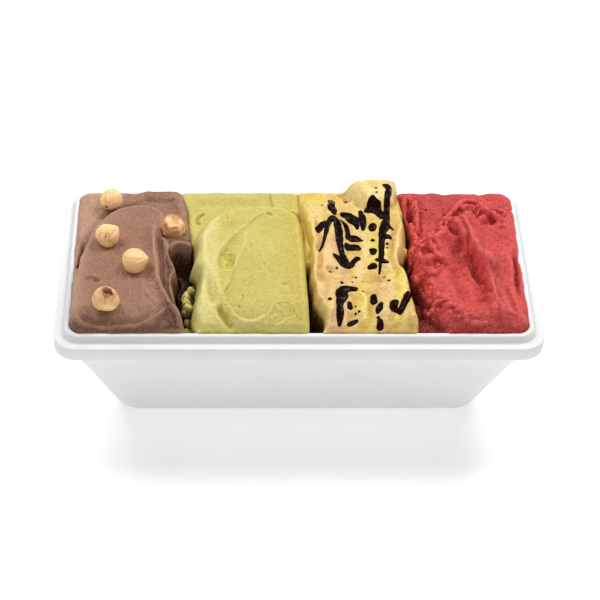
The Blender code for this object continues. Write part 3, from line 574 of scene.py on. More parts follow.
RASPBERRY_CRUMBS = [
    (4.5, [(85, 28), (79.8, 21.8), (74.5, 17.4), (67, 9.7), (61.4, 1), (59.5, -8)]),
    (3, [(72, 13), (73.4, 3), (75, -5), (76, -11), (72, -17), (66, -15)]),
    (4, [(61.5, -20), (68.7, -26), (69, -33), (67, -40), (71, -44), (75, -40), (79.7, -43.5), (84, -50)]),
    (4, [(90, 41), (96, 45), (102, 42), (105, 33)]),
    (3.2, [(104, 33), (109.6, 37), (115, 36)]),
    (3.6, [(60.6, 53), (64, 48.8), (67.2, 44), (67.6, 33), (66.9, 22), (63.5, 8)]),
]
RASPBERRY_FORMS = [
    (ridge, [(84, 34), (91.3, 28), (93.6, 20), (95.6, 12), (98.4, 1), (100.6, -8), (101.4, -20),
             (102.4, -33), (104.4, -44), (106.4, -57)], 2, 3.6, 2.6, 0.08),
    (ridge, [(87, 24), (90, 8), (94, -6), (96.4, -16), (97.6, -28), (100, -42)], -3.6, 2.6, 7, 0.2),
    (mound, (103, -9.4), (4.4, 4.8), 2.3, 20, 2.2),
    (mound, (100.4, -16.8), (2.4, 2.6), -1.1, 10),
    (mound, (99.6, -4.2), (2, 2.4), 0.7, 0, 1.5),
    (mound, (105.8, -8), (1.8, 2.8), 0.9, 0, 1.6),
    (mound, (102.2, -6.4), (1, 3), -0.8, -20, 1.4),
    (mound, (96.6, 4), (2.6, 3.2), 0.8, 0, 1.4),
    (mound, (93, 16), (2.8, 4), 0.8, 0, 1.4),
    (ridge, [(100.6, -17), (103, -23), (103.4, -33), (104.4, -46)], 1.4, 1.1, 0.9, 0.1),
    (ridge, [(79.9, 23), (86, 37), (93, 45), (99.7, 46.5), (102.7, 40), (105, 32)], 2.6, 2.2, 1.8, 0.12),
    (mound, (100.5, 40), (2.6, 2), -1.9, 20),
    (mound, (96.5, 38), (3, 2), 1.6, 30),
    (ridge, [(107, 40.5), (112, 42.4), (116, 41), (119, 35)], 1.9, 1.6, 1.4, 0.2),
    (ridge, [(103.6, 32.5), (109.6, 36), (114.2, 31)], 2, 1.7, 1.4, 0.2),
    (ridge, [(106, 29.5), (112, 32.5), (116, 28.5)], -0.9, 1.4, 1.2, 0.3),
    (ridge, [(84, 27), (79.8, 22.4), (74.5, 17.6), (67, 10), (61.8, 1.6), (60.4, -6)], 2.6, 1.5, 1.9, 0.08),
    (mound, (82.4, 24), (2.8, 3), 2.2, 0, 1.6),
    (mound, (86.4, 19.6), (3.4, 1.9), -2, -20),
    (ridge, [(72, 13), (73.4, 3.2), (74.9, -5.3), (75.9, -10.6)], 1.9, 1.4, 1.4, 0.1),
    (mound, (68.6, 2.6), (3.2, 4.2), -3.4, -30),
    (mound, (70.4, -7.6), (3.2, 3), 2.6, 0, 2),
    (mound, (77.4, -8.6), (2.3, 2.3), 2.2, 0, 1.8),
    (ridge, [(67, -11), (71, -12.6), (76, -12.2)], -1.4, 1.1, 1.1, 0.3),
    (mound, (72.2, -18), (2.6, 2.4), 1.8, 0, 1.6),
    (mound, (65.2, -15.2), (3.4, 2.2), 1.6, 0, 1.6),
    (mound, (63.6, -22), (3, 5), -3, 10, 1.5),
    (ridge, [(68.7, -24), (69.6, -33), (69, -38)], 1.6, 1.2, 1.5),
    (mound, (69.4, -39.6), (2.8, 3.6), 3, 0, 2),
    (mound, (75.4, -39.4), (3, 2.8), -3.4, 0, 1.5),
    (ridge, [(74, -44), (79.7, -44.5), (84, -50), (90, -53)], 1.8, 1.6, 1.6, 0.12),
    (ridge, [(79, -50), (88, -54.5), (100, -55)], 0.9, 1.4, 1.4),
    (ridge, [(60.6, 53), (64, 48.8), (67.2, 44), (67.6, 33), (66.9, 22), (63.5, 8)], 2, 1.6, 1.8, 0.08),
    (mound, (61, 47), (2, 3.4), 2.2, 0, 1.5),
    (mound, (66.5, 50), (2.6, 2), 2, 0, 1.5),
    (mound, (63.4, 36), (1.9, 5.5), -4.5, 8, 1.6),
    (ridge, [(70.8, 43.2), (74.2, 41)], -1.3, 0.7, 0.7, 0.3),
    (ridge, [(82, 39.5), (84.6, 39)], -1.3, 0.8, 0.8, 0.3),
    (ridge, [(119.4, 12), (119.8, -4), (119, -20), (118.4, -32)], -2.4, 1.4, 1.6, 0.3),
    (ridge, [(112, -22), (114, -34), (116, -46)], -0.8, 1.2, 1.6),
    (ridge, [(108, -28), (111, -42), (113, -52)], 0.7, 1, 1.4),
]


def raspberry_crumbs(x, y):
    """Where the sorbet is torn and crumbly: 1 along its ragged edges, 0 where it is swiped smooth."""
    total = np.zeros(x.shape)
    for width, path in RASPBERRY_CRUMBS:
        distance, _, _ = nearest(smooth_curve(path), x, y)
        total = np.maximum(total, np.exp(-(distance / width) ** 2))
    return total


def raspberry_detail(x, y):
    crumbs = raspberry_crumbs(x, y)
    bent_x = x + (0.4 + 1.2 * crumbs) * fractal(x, y, 0, 3.6, 2, 46)
    bent_y = y + (0.4 + 1.2 * crumbs) * fractal(x, y, 0, 3.6, 2, 47)
    z = FORM_GAIN * forms(bent_x, bent_y, RASPBERRY_FORMS)
    z += 0.4 * noise(x, y, 0, 5.0, 43) + 0.17 * fractal(x, y, 0, 1.3, 2, 45)
    knob = mound(x, y, (102.2, -8.0), (6.0, 7.0), 0.9, 20, 2.0)
    z += np.maximum(crumbs, knob) * (1.1 * blobs(x, y, 0, 3.4, 48) + 0.5 * blobs(x, y, 0, 1.7, 49) - 0.8)
    return z + pores(x, y, 320, ((62, -56), (120, 56)), (0.2, 0.6), 1.0, 16)


TOPS = [chocolate_top, pistachio_top, custard_top, raspberry_top]
DETAILS = [chocolate_detail, pistachio_detail, custard_detail, raspberry_detail]
WANDER = [0.5, 0.6, 1.3, 1.1]


# The cavity in plan

def inner_inset(z):
    """How far the cavity's wall is from the rim's outer edge at height z."""
    return LIP_INSET + WALL_SLOPE * (LIP_TOP - z)


def cavity_half(z):
    """Half the length and width that gelato takes in the cavity at height z."""
    inset = inner_inset(z) + GAP
    return TUB_LENGTH / 2 - inset, TUB_WIDTH / 2 - inset


def side(flavour, y, z):
    """The left edge in X of a flavour, or the tub's right wall for the number past the last one."""
    if flavour == 0:
        return -cavity_half(z)[0]
    if flavour == len(TOPS):
        return cavity_half(z)[0]
    line = smooth_curve(PARTITIONS[flavour - 1])
    return np.interp(y, line[:, 1], line[:, 0])


def plan(flavour, u, v, z):
    """Where a point of a flavour's unit square lies at height z, inside the rounded corners."""
    half_x, half_y = cavity_half(z)
    y = v * half_y
    low, high = side(flavour, y, z), side(flavour + 1, y, z)
    x = low + (u + 1) / 2 * (high - low)
    over_x = np.clip((np.abs(x) - half_x + CAVITY_RADIUS) / CAVITY_RADIUS, 0, 1)
    over_y = np.clip((np.abs(y) - half_y + CAVITY_RADIUS) / CAVITY_RADIUS, 0, 1)
    pull_x = over_x * (1 - np.sqrt(1 - over_y ** 2 / 2)) * CAVITY_RADIUS
    pull_y = over_y * (1 - np.sqrt(1 - over_x ** 2 / 2)) * CAVITY_RADIUS
    return x - np.sign(x) * pull_x, y - np.sign(y) * pull_y


def wall_distance(x, y):
    """How far a point is inside the cavity's mouth."""
    half_x, half_y = cavity_half(LIP_TOP)
    qx = np.abs(x) - half_x + CAVITY_RADIUS
    qy = np.abs(y) - half_y + CAVITY_RADIUS
    outside = np.hypot(np.maximum(qx, 0), np.maximum(qy, 0))
    return CAVITY_RADIUS - outside - np.minimum(np.maximum(qx, qy), 0)


def surface(flavour, x, y, detailed=True):
    """Height of a flavour's top: its relief, brought down to the lip and into the gutters."""
    wander = WANDER[flavour]
    relief = TOPS[flavour](x + wander * noise(x, y, 0, 9.0, 80 + flavour),
                           y + wander * noise(x, y, 0, 9.0, 90 + flavour))
    front = shoulder(y + cavity_half(LIP_TOP)[1], FRONT_ROLL)
    relief = np.where(relief > 0, relief * (FRONT_SHARE + (1 - FRONT_SHARE) * front), relief)
    if flavour == CUSTARD:
        relief = np.maximum(relief, custard_fill(x, y))
    if detailed:
        relief = relief + DETAILS[flavour](x, y)
    if flavour == PISTACHIO:
        relief = np.maximum(relief, clump_tops(x, y))
    to_wall = wall_distance(x, y)
    edge = WALL_LEVEL + 0.4 * noise(x, y, 0, 6.0, 70 + flavour)
    relief = np.where(relief > edge, edge + (relief - edge) * shoulder(to_wall, WALL_ROUND), relief)
    for number, sign in ((flavour, 1), (flavour + 1, -1)):
        if 0 < number < len(TOPS):
            distance = sign * (x - side(number, y, LIP_TOP))
            relief = relief - PARTITION_DROP * (1 - shoulder(distance, PARTITION_ROUND))
    return LIP_TOP + relief


# Meshes

def make_piece(name, verts, faces, material):
    """A smooth-shaded mesh object from points in millimetres."""
    mesh = bpy.data.meshes.new(name)
    mesh.from_pydata((np.asarray(verts) * MM).tolist(), [], faces)
    mesh.materials.append(material)
    mesh.shade_smooth()
    obj = bpy.data.objects.new(name, mesh)
    bpy.context.scene.collection.objects.link(obj)
    return obj


def stand_for(obj, slot, *nodes):
    """The piece rides on the part's one body and stands for these solids."""
    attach(obj, "root")
    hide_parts(*nodes)


def add_attribute(obj, name, values):
    """A per-point number that the materials read."""
    attribute = obj.data.attributes.new(name, "FLOAT", "POINT")
    attribute.data.foreach_set("value", np.asarray(values, np.float32))


def grid_faces(rows, columns):
    """Quads of a grid whose points run along its rows."""
    index = np.arange(rows * columns).reshape(rows, columns)
    corners = [index[:-1, :-1], index[:-1, 1:], index[1:, 1:], index[1:, :-1]]
    return np.stack(corners, -1).reshape(-1, 4).tolist()


def close_below(verts, faces, rows, columns, low_ring):
    """Close a grid's rim down to two lower rings of points and across its bottom."""
    index = np.arange(rows * columns).reshape(rows, columns)
    rim = np.concatenate([index[0, :-1], index[:-1, -1], index[-1, :0:-1], index[:0:-1, 0]])
    count = len(rim)
    upper = rim.tolist()
    for height in (LIP_TOP - SKIRT_DROP, FLOOR_THICKNESS + FLOOR_GAP):
        lower = list(range(len(verts), len(verts) + count))
        verts = np.vstack([verts, low_ring(rim, height)])
        for i in range(count):
            j = (i + 1) % count
            faces.append((upper[j], upper[i], lower[i], lower[j]))
        upper = lower
    faces.append(tuple(reversed(upper)))
    return verts, faces


# The coarse grid that the relief is sampled on, and how much steepness draws columns together
COARSE_COLUMNS, COARSE_ROWS = 161, 61
STEEPNESS = 0.7
SMOOTHINGS = 3
# Rows are spread evenly by the first share, and closer at both ends by the second
EVEN_SHARE, END_SHARE = 0.72, 0.28
# Steep sides need more columns than the length in plan gives
EXTRA_COLUMNS = 1.12
# Reach of one averaging pass in millimetres, and how strongly a height above the average counts
BULGE_REACH = 1.6
BULGE_GAIN = 0.7


def spread(flavour, columns, rows):
    """Unit-square columns for each row, set closer together where the relief is steep."""
    coarse_u = np.linspace(-1, 1, COARSE_COLUMNS)
    coarse_v = np.linspace(-1, 1, COARSE_ROWS)
    u, v = np.meshgrid(coarse_u, coarse_v)
    x, y = plan(flavour, u, v, LIP_TOP)
    z = surface(flavour, x, y, False)
    run = np.hypot(np.diff(x, axis=1), STEEPNESS * np.diff(z, axis=1))
    for _ in range(SMOOTHINGS):
        run[1:-1] = (run[:-2] + 2 * run[1:-1] + run[2:]) / 4
    passed = np.concatenate([np.zeros((len(coarse_v), 1)), np.cumsum(run, axis=1)], axis=1)
    passed /= passed[:, -1:]
    even = np.linspace(0, 1, columns)
    placed = np.array([np.interp(even, row, coarse_u) for row in passed])
    ends = np.sin(np.linspace(-math.pi / 2, math.pi / 2, rows))
    vs = EVEN_SHARE * np.linspace(-1, 1, rows) + END_SHARE * ends
    return np.array([np.interp(vs, coarse_v, column) for column in placed.T]).T, vs


def lap(points):
    """How far the gelato's edge smears out over the tub's lip, where it stands above it."""
    x, y, z = points.T
    reach = LIP_LAP * (1 + 0.6 * noise(x, y, 0, 5.0, 95)) * soft_step((z - LIP_TOP) / 0.3)
    moves = []
    for value, half in zip((x, y), cavity_half(LIP_TOP)):
        moves.append(np.sign(value) * reach * soft_step((np.abs(value) - half + 1.4) / 1.4))
    return np.stack(moves, -1)


def gelato_piece(name, node, flavour, material, rough, tints):
    """A flavour: its relief over a fine grid, roughened along its own normals, closed below."""
    half_x, half_y = cavity_half(LIP_TOP)
    length = side(flavour + 1, 0.0, LIP_TOP) - side(flavour, 0.0, LIP_TOP)
    columns, rows = round(length * EXTRA_COLUMNS / STEP), round(2 * half_y / STEP)
    u, vs = spread(flavour, columns, rows)
    v = np.repeat(vs[:, None], columns, axis=1)
    u, v = u.ravel(), v.ravel()
    x, y = plan(flavour, u, v, LIP_TOP)
    z = surface(flavour, x, y)
    x, y = plan(flavour, u, v, np.minimum(z, LIP_TOP))
    points = np.stack([x, y, z], -1)
    normals = grid_normals(points, rows, columns)
    inward = soft_step(np.minimum(wall_distance(x, y), 4.0) / 2.0)
    push = rough(x, y, z) * inward
    points = points + normals * push[:, None]
    if flavour == PISTACHIO:
        points[:, 0] += pistachio_lean(x, y) * soft_step((z - LIP_TOP + 9) / 5)
    points[:, :2] += lap(points)

    def low_ring(rim, height):
        heights = np.minimum(height, points[rim, 2] - 0.4)
        px, py = plan(flavour, u[rim], v[rim], heights)
        return np.stack([px, py, heights], -1)

    verts, faces = close_below(points, grid_faces(rows, columns), rows, columns, low_ring)
    obj = make_piece(name, verts, faces, material)
    spare = len(verts) - len(points)
    # The bulge drives the painted highlight on crests and the painted shade in hollows.
    bulge = bulging(points[:, 2].reshape(rows, columns)).ravel()
    add_attribute(obj, "bulge", np.concatenate([bulge, np.full(spare, 0.5)]))
    # Zone tints; the buried sides get none of them but full painted crevice shade.
    for label, tint in tints:
        add_attribute(obj, label, np.concatenate([tint(x, y, z), np.full(spare, float(label == "depth"))]))
    stand_for(obj, node, node)


def bulging(heights):
    """From 0 in hollows to 1 on crests: how far a grid of heights stands above its own blur."""
    smooth = heights
    reach = round(BULGE_REACH / STEP)
    for axis in (0, 1, 0, 1):
        padded = np.pad(smooth, [(reach, reach) if axis == k else (0, 0) for k in (0, 1)], mode="edge")
        sums = np.cumsum(padded, axis=axis)
        sums = np.concatenate([np.zeros_like(np.take(sums, [0], axis)), sums], axis)
        width = 2 * reach + 1
        count = smooth.shape[axis]
        beyond = np.take(sums, range(width, width + count), axis)
        smooth = (beyond - np.take(sums, range(count), axis)) / width
    return np.clip(0.5 + BULGE_GAIN * (heights - smooth), 0, 1)


def grid_normals(points, rows, columns):
    """Upward normals of a grid of points."""
    grid = points.reshape(rows, columns, 3)
    across = np.gradient(grid, axis=1)
    along = np.gradient(grid, axis=0)
    normals = np.cross(across, along).reshape(-1, 3)
    return normals / np.maximum(np.linalg.norm(normals, axis=1, keepdims=True), 1e-9)


# Materials

class Shader:
    """A Principled material being built from nodes."""

    def __init__(self, name):
        self.material = bpy.data.materials.new(name)
        self.material.use_nodes = True
        self.tree = self.material.node_tree
        self.main = self.tree.nodes["Principled BSDF"]
        self.place = self.add("ShaderNodeTexCoord").outputs["Object"]
        self.height = None

    def add(self, kind, **settings):
        node = self.tree.nodes.new(kind)
        for key, value in settings.items():
            setattr(node, key, value)
        return node

    def join(self, output, target):
        self.tree.links.new(output, target)

    def put(self, socket, value):
        """Link an output to a socket, or set the socket to a plain value."""
        if isinstance(value, bpy.types.NodeSocket):
            self.join(value, socket)
        else:
            socket.default_value = value

    def set(self, **values):
        for key, value in values.items():
            self.put(self.main.inputs[key.replace("_", " ")], value)

    def noise(self, size, detail=3.0, rough=0.55):
        """Noise whose features are about size metres across."""
        node = self.add("ShaderNodeTexNoise")
        node.inputs["Scale"].default_value = 1.0 / size
        node.inputs["Detail"].default_value = detail
        node.inputs["Roughness"].default_value = rough
        self.join(self.place, node.inputs["Vector"])
        return node.outputs["Fac"]

    def creases(self, size):
        """Distance to the creases between beads that are about size metres across."""
        node = self.add("ShaderNodeTexVoronoi", feature="DISTANCE_TO_EDGE")
        node.inputs["Scale"].default_value = 1.0 / size
        self.join(self.place, node.inputs["Vector"])
        return node.outputs["Distance"]

    def span(self, value, low, high, to_low=0.0, to_high=1.0):
        """A value mapped from one range to another and clamped."""
        node = self.add("ShaderNodeMapRange")
        self.join(value, node.inputs["Value"])
        for key, number in zip(("From Min", "From Max", "To Min", "To Max"), (low, high, to_low, to_high)):
            node.inputs[key].default_value = number
        return node.outputs["Result"]

    def mix(self, share, first, second):
        node = self.add("ShaderNodeMix", data_type="RGBA")
        self.put(node.inputs["Factor"], share)
        colour_inputs = [socket for socket in node.inputs if socket.type == "RGBA"]
        for socket, colour in zip(colour_inputs, (first, second)):
            self.put(socket, (*colour, 1) if isinstance(colour, tuple) else colour)
        return next(socket for socket in node.outputs if socket.type == "RGBA")

    def attribute(self, name):
        return self.add("ShaderNodeAttribute", attribute_name=name).outputs["Fac"]

    def bump(self, height, distance):
        """Add one layer of bump, distance metres deep."""
        node = self.add("ShaderNodeBump")
        node.inputs["Distance"].default_value = distance
        node.inputs["Strength"].default_value = 1.0
        self.join(height, node.inputs["Height"])
        if self.height:
            self.join(self.height, node.inputs["Normal"])
        self.height = node.outputs["Normal"]
        self.join(self.height, self.main.inputs["Normal"])


def gelato_shader(name, light, dark, zones, crest, hollow, deep, roughness=(0.42, 0.62),
                  soft=0.4, radius=(1.0, 0.6, 0.4), grain=0.0006, grain_depth=0.0001, pitting=0.00018,
                  mottle=0.08):
    """Frozen gelato: scattered light, painted highlight on crests and painted shade in hollows and crevices,
    drifting colour, fine ice grain.
    """
    s = Shader(name)
    colour = s.mix(s.span(s.noise(0.016, 4.0), 0.35, 0.65), light, dark)
    # Zone tints: real colour, and for some zones painted light and painted shade.
    for zone, tint in zones:
        colour = s.mix(s.attribute(zone), colour, tint)
    # Painted highlight on crests and painted shade in hollows, read from the bulge of the relief.
    bulge = s.attribute("bulge")
    colour = s.mix(s.span(bulge, 0.52, 0.95, 0.0, 0.55), colour, crest)
    colour = s.mix(s.span(bulge, 0.48, 0.05, 0.0, 0.8), colour, hollow)
    # Painted shade in crevices below the lip.
    colour = s.mix(s.attribute("depth"), colour, deep)
    colour = s.mix(s.span(s.noise(0.0011, 2.0), 0.38, 0.68, 0.0, 0.38), colour, crest)
    colour = s.mix(s.span(s.noise(0.0013, 2.0), 0.52, 0.70, 0.0, 0.50), colour, hollow)
    colour = s.mix(s.span(s.noise(0.0034, 3.0, 0.65), 0.48, 0.66, 0.0, mottle), colour, hollow)
    s.set(Base_Color=colour, Roughness=s.span(s.noise(0.004, 3.0), 0.35, 0.65, *roughness),
          Subsurface_Weight=soft, Subsurface_Radius=radius, Subsurface_Scale=0.0018, IOR=1.36,
          Specular_IOR_Level=0.4)
    s.bump(s.noise(grain, 3.0, 0.7), grain_depth)
    s.bump(s.noise(0.0022, 3.0, 0.6), pitting)
    return s.material


def painted_crevice_shade(x, y, z):
    """Painted crevice shade: 1 in crevices below the lip, 0 above it."""
    return soft_step((LIP_TOP + 1.0 - z) / 6.0)


# Camera, floor and light

def add_camera():
    pitch, yaw, roll = CAMERA_PITCH, CAMERA_YAW, CAMERA_ROLL
    ahead = Vector((math.sin(yaw) * math.cos(pitch), math.cos(yaw) * math.cos(pitch), -math.sin(pitch)))
    right = Vector((math.cos(yaw), -math.sin(yaw), 0.0))
    up = right.cross(ahead)
    turned_right = math.cos(roll) * right + math.sin(roll) * up
    turned_up = math.cos(roll) * up - math.sin(roll) * right
    data = bpy.data.cameras.new("camera")
    data.lens = CAMERA_LENS
    data.sensor_width = 36.0
    camera = bpy.data.objects.new("camera", data)
    axes = Matrix((turned_right, turned_up, -ahead)).transposed()
    camera.matrix_world = Matrix.Translation(CAMERA_PLACE) @ axes.to_4x4()
    bpy.context.scene.collection.objects.link(camera)
    bpy.context.scene.camera = camera


FLOOR_HALF = 4000


def add_floor():
    s = Shader("pale_floor")
    s.set(Base_Color=s.mix(s.noise(0.4, 2.0), (0.90, 0.90, 0.90), (0.92, 0.92, 0.92)), Roughness=0.7,
          Specular_IOR_Level=0.1, Emission_Color=(1.0, 1.0, 1.0, 1.0), Emission_Strength=0.30)
    far = FLOOR_HALF
    floor = make_piece("floor", [(-far, -far, 0), (far, -far, 0), (far, far, 0), (-far, far, 0)],
                       [(0, 1, 2, 3)], s.material)


def add_light(name, place, target, size, power):
    data = bpy.data.lights.new(name, "AREA")
    data.shape = "RECTANGLE"
    data.size, data.size_y = size
    data.energy = power
    light = bpy.data.objects.new(name, data)
    light.location = place
    light.rotation_euler = (Vector(target) - Vector(place)).to_track_quat("-Z", "Y").to_euler()
    bpy.context.scene.collection.objects.link(light)


def add_lights():
    add_light("softbox_right", (0.40, 0.30, 0.84), (0.03, 0, 0.07), (0.35, 0.45), 5.5)
    add_light("softbox_left", (-0.44, 0.27, 0.80), (-0.03, 0, 0.07), (0.35, 0.45), 3.7)
    add_light("fill_front", (0.0, -1.5, 0.74), (0, 0, 0.05), (1.6, 0.8), 5.0)
    world = bpy.data.worlds.new("studio")
    bpy.context.scene.world = world
    world.use_nodes = True
    background = world.node_tree.nodes["Background"]
    background.inputs["Color"].default_value = (1.0, 1.0, 1.0, 1)
    background.inputs["Strength"].default_value = 0.33
    bpy.context.scene.view_settings.view_transform = "Standard"


# Drizzle

# Each stroke is a run of points: x, y and half its width there
STROKES = [
    [(19.6, 46.5, 1.6), (19.7, 42.2, 1.7), (19.5, 38.4, 1.9), (20, 34.5, 2.1), (20.4, 31.4, 1.4)],
    [(11.2, -1.2, 0.5), (13.4, 4.8, 0.7), (15.1, 11.4, 1), (16.6, 20, 1.1), (18.6, 24.8, 1.5),
     (20.8, 26.2, 1.9), (22.5, 21.9, 2), (22.8, 12.4, 1.8), (23.4, 2.9, 1.4), (24.6, -4.5, 1.3),
     (26.6, -12, 1.8)],
    [(20.1, -3.1, 1.1), (22.1, -6.4, 1.6), (25, -11.4, 1.9), (27.6, -13.7, 1.5), (29.6, -9.3, 1.5),
     (31.8, -7.1, 1.6)],
    [(11.6, 17.1, 1.7), (12.9, 20.2, 1.7), (15.3, 23.1, 0.8)],
    [(24.6, 27.4, 0.5), (26.7, 24, 1.2), (27.7, 18.1, 1), (28.1, 13.4, 1.4), (31, 11.2, 2), (34.8, 8.1, 1)],
    [(26.3, 32.5, 1.9), (28.4, 31.6, 2.1), (31.4, 26.7, 2.2), (32.9, 23.8, 1.8), (33.1, 19, 0.8)],
    [(26.6, 7.7, 0.9), (28.3, 4.4, 2.1), (31.3, 3, 2), (33.5, 0.9, 0.9)],
    [(35.4, 33.2, 0.9), (36.1, 27.9, 1.6), (36.4, 22.6, 1.7), (36.2, 17.5, 0.8)],
    [(42.6, 40.2, 1), (42.6, 35.9, 3.1), (44.9, 31.1, 2.4), (46.3, 27, 1.6)],
    [(39.6, 33.4, 1.8), (42.6, 34, 2.6)],
    [(48.3, 51.5, 0.8), (50.6, 49.1, 1.9), (51.5, 45.1, 1.5), (50.3, 37.2, 1.5), (49.6, 25.6, 1.6),
     (48.1, 17.3, 2.3), (46.5, 12.6, 1.6), (45.7, 4.5, 1.4), (44.9, -8.4, 1.3)],
    [(49.8, 18.2, 1.9), (51.6, 17.5, 1.2)],
    [(47.8, 10, 1.5), (50.6, 10.1, 1.1)],
    [(42.7, -8.2, 1.1), (45.6, -9, 1.6), (48.1, -9.4, 1)],
    [(44.4, -10, 0.8), (43.6, -16.6, 0.5)],
    [(41.4, 19, 1.9), (41.3, 17.1, 1.6)],
    [(40.9, 0.3, 1.8), (40.8, -1.8, 1.6)],
    [(38.4, -13.6, 1.2), (40.3, -12.5, 1.7)],
    [(29.1, -31.3, 1.7), (26, -30.9, 1.9), (22.8, -33, 2.4), (22.4, -36.7, 2.7), (21.3, -42.5, 1.7),
     (21.1, -49, 1.6), (20.6, -54.6, 1)],
    [(26.4, -41.6, 1.2), (26.4, -44.7, 1.4)],
    [(25.4, -54.6, 0.8), (27.4, -53.2, 1.5), (29.6, -52.5, 0.9)],
    [(39.5, -35.9, 1.3), (39.4, -40.3, 1.6)],
    [(43, -43, 1.1), (41.9, -45.6, 1.8), (41.1, -48.2, 0.9)],
    [(42, -53.2, 1.3), (42.1, -55.6, 1.7)],
    [(50.1, -42.2, 2), (49.6, -45.6, 1.8), (51.2, -49.1, 1.5), (53.2, -47.9, 1.4), (55.2, -42.8, 1.5),
     (57.3, -37.5, 1.7), (58.3, -35, 1.3)],
]
DROPS = [(14.2, 36.6, 0.6), (21.2, 44.4, 0.9), (27.3, 46.6, 0.9), (44.6, 47, 0.7), (44.8, 43.6, 0.6),
         (41.1, 8.6, 1.1), (46.1, -19.6, 0.6), (43.8, -23.4, 0.6), (48, -26.1, 0.8), (22.9, -26.3, 0.9),
         (15.9, -40.4, 1), (30.5, -21.8, 0.6), (28.6, -21.6, 0.5), (28.5, -25.6, 0.5), (34, -24.7, 0.5),
         (25.8, -4.2, 0.5), (31.2, -47.8, 0.6), (29.4, -48.4, 0.6), (29.5, -43.9, 0.5), (41.2, -51.2, 0.7),
         (48.9, 5.5, 0.7), (48.9, 2.6, 0.6), (20.6, -13.7, 0.6), (16.9, -16.3, 0.7), (33.9, -33.3, 0.5)]
DRIZZLE_STEP = 0.24
DRIZZLE_BOX = ((7.0, -58.5), (62.0, 50.0))
BEAD_HEIGHT = 0.55
STROKE_SPREAD = 1.22
BURIED = -0.9
SHEET_DEPTH = 0.5
NO_DRIZZLE = -3.0
VALLEY_BLEND = 0.35


def bead(s, size):
    """Height in millimetres of a rounded bead, from the share s: 1 on its middle line, 0 at its edge."""
    return BEAD_HEIGHT * size * np.where(s > 0, np.power(np.maximum(s, 0), 0.6), 1.6 * s)


def drizzle_height(x, y):
    """Height of the drizzle above the custard, below 0 outside the strokes."""
    wobble = STROKE_SPREAD * (1 + 0.13 * noise(x, y, 0, 3.0, 51) + 0.06 * noise(x, y, 0, 1.2, 52))
    total = np.full(x.shape, NO_DRIZZLE)
    for points in STROKES:
        curve = smooth_curve(points)
        passed = np.concatenate([[0.0], np.cumsum(np.hypot(*np.diff(curve[:, :2], axis=0).T))])
        distance, _, along = nearest(curve[:, :2], x, y)
        size = np.interp(along, passed / passed[-1], curve[:, 2])
        height = np.maximum(bead(1 - (distance / (size * wobble)) ** 2, size), NO_DRIZZLE)
        total = smooth_max(total, height)
    for px, py, size in DROPS:
        d2 = ((x - px) ** 2 + (y - py) ** 2) / (size * wobble) ** 2
        total = smooth_max(total, np.maximum(bead(1 - d2, size), NO_DRIZZLE))
    return total


def smooth_max(a, b):
    """The larger of two heights, with the valley between them filled a little."""
    h = np.clip(0.5 + 0.5 * (a - b) / VALLEY_BLEND, 0, 1)
    return b + (a - b) * h + VALLEY_BLEND * h * (1 - h) * 0.5


def add_drizzle(material):
    """Beads of sauce: a sheet over the custard, kept where it is thick enough, closed underneath."""
    (x0, y0), (x1, y1) = DRIZZLE_BOX
    xs, ys = np.arange(x0, x1, DRIZZLE_STEP), np.arange(y0, y1, DRIZZLE_STEP)
    x, y = (values.ravel() for values in np.meshgrid(xs, ys))
    height = drizzle_height(x, y)
    faces = np.array(grid_faces(len(ys), len(xs)))
    faces = faces[(height[faces] > BURIED).all(axis=1)]
    used = np.unique(faces)
    renumber = np.zeros(len(x), int)
    renumber[used] = np.arange(len(used))
    faces = renumber[faces]
    x, y, height = x[used], y[used], np.maximum(height[used], BURIED)
    ground = surface(CUSTARD, x, y)
    top = np.stack([x, y, ground + height], -1)
    bottom = np.stack([x, y, ground + BURIED - SHEET_DEPTH], -1)
    edges = np.concatenate([faces[:, [0, 1]], faces[:, [1, 2]], faces[:, [2, 3]], faces[:, [3, 0]]])
    keys = {(int(a), int(b)) for a, b in edges}
    rim = sorted((a, b) for a, b in keys if (b, a) not in keys)
    count = len(used)
    quads = faces.tolist() + (faces[:, ::-1] + count).tolist()
    quads += [(b, a, a + count, b + count) for a, b in rim]
    obj = make_piece("chocolate_drizzle", np.vstack([top, bottom]), quads, material)
    stand_for(obj, "chocolate_drizzle", "custard_gelato")


# Tub

def rounded_rectangle(inset, radius):
    """The tub's outline moved in by inset, anticlockwise, with points along its long sides too."""
    half_x, half_y = TUB_LENGTH / 2 - inset - radius, TUB_WIDTH / 2 - inset - radius
    ring = []
    for corner, (sx, sy) in enumerate(((1, 1), (-1, 1), (-1, -1), (1, -1))):
        arc = []
        for step in range(CORNER_STEPS + 1):
            angle = math.pi / 2 * (corner + step / CORNER_STEPS)
            arc.append((sx * half_x + radius * math.cos(angle), sy * half_y + radius * math.sin(angle)))
        if ring:
            ring += between(ring[-1], arc[0])
        ring += arc
    return ring + between(ring[-1], ring[0])


def between(start, end):
    """Points strictly between two others."""
    (x0, y0), (x1, y1) = start, end
    parts = SIDE_STEPS + 1
    return [(x0 + (x1 - x0) * i / parts, y0 + (y1 - y0) * i / parts) for i in range(1, parts)]


def fillet(before, corner, after, radius):
    """Round a corner of the profile (inset, height, plan radius) off by about radius."""
    b, c, a = (np.array(point, float) for point in (before, corner, after))
    start = c + (b - c) * min(0.45, radius / max(np.linalg.norm((b - c)[:2]), 1e-6))
    end = c + (a - c) * min(0.45, radius / max(np.linalg.norm((a - c)[:2]), 1e-6))
    return [tuple((1 - t) ** 2 * start + 2 * t * (1 - t) * c + t * t * end)
            for t in np.linspace(0, 1, FILLET_STEPS)]


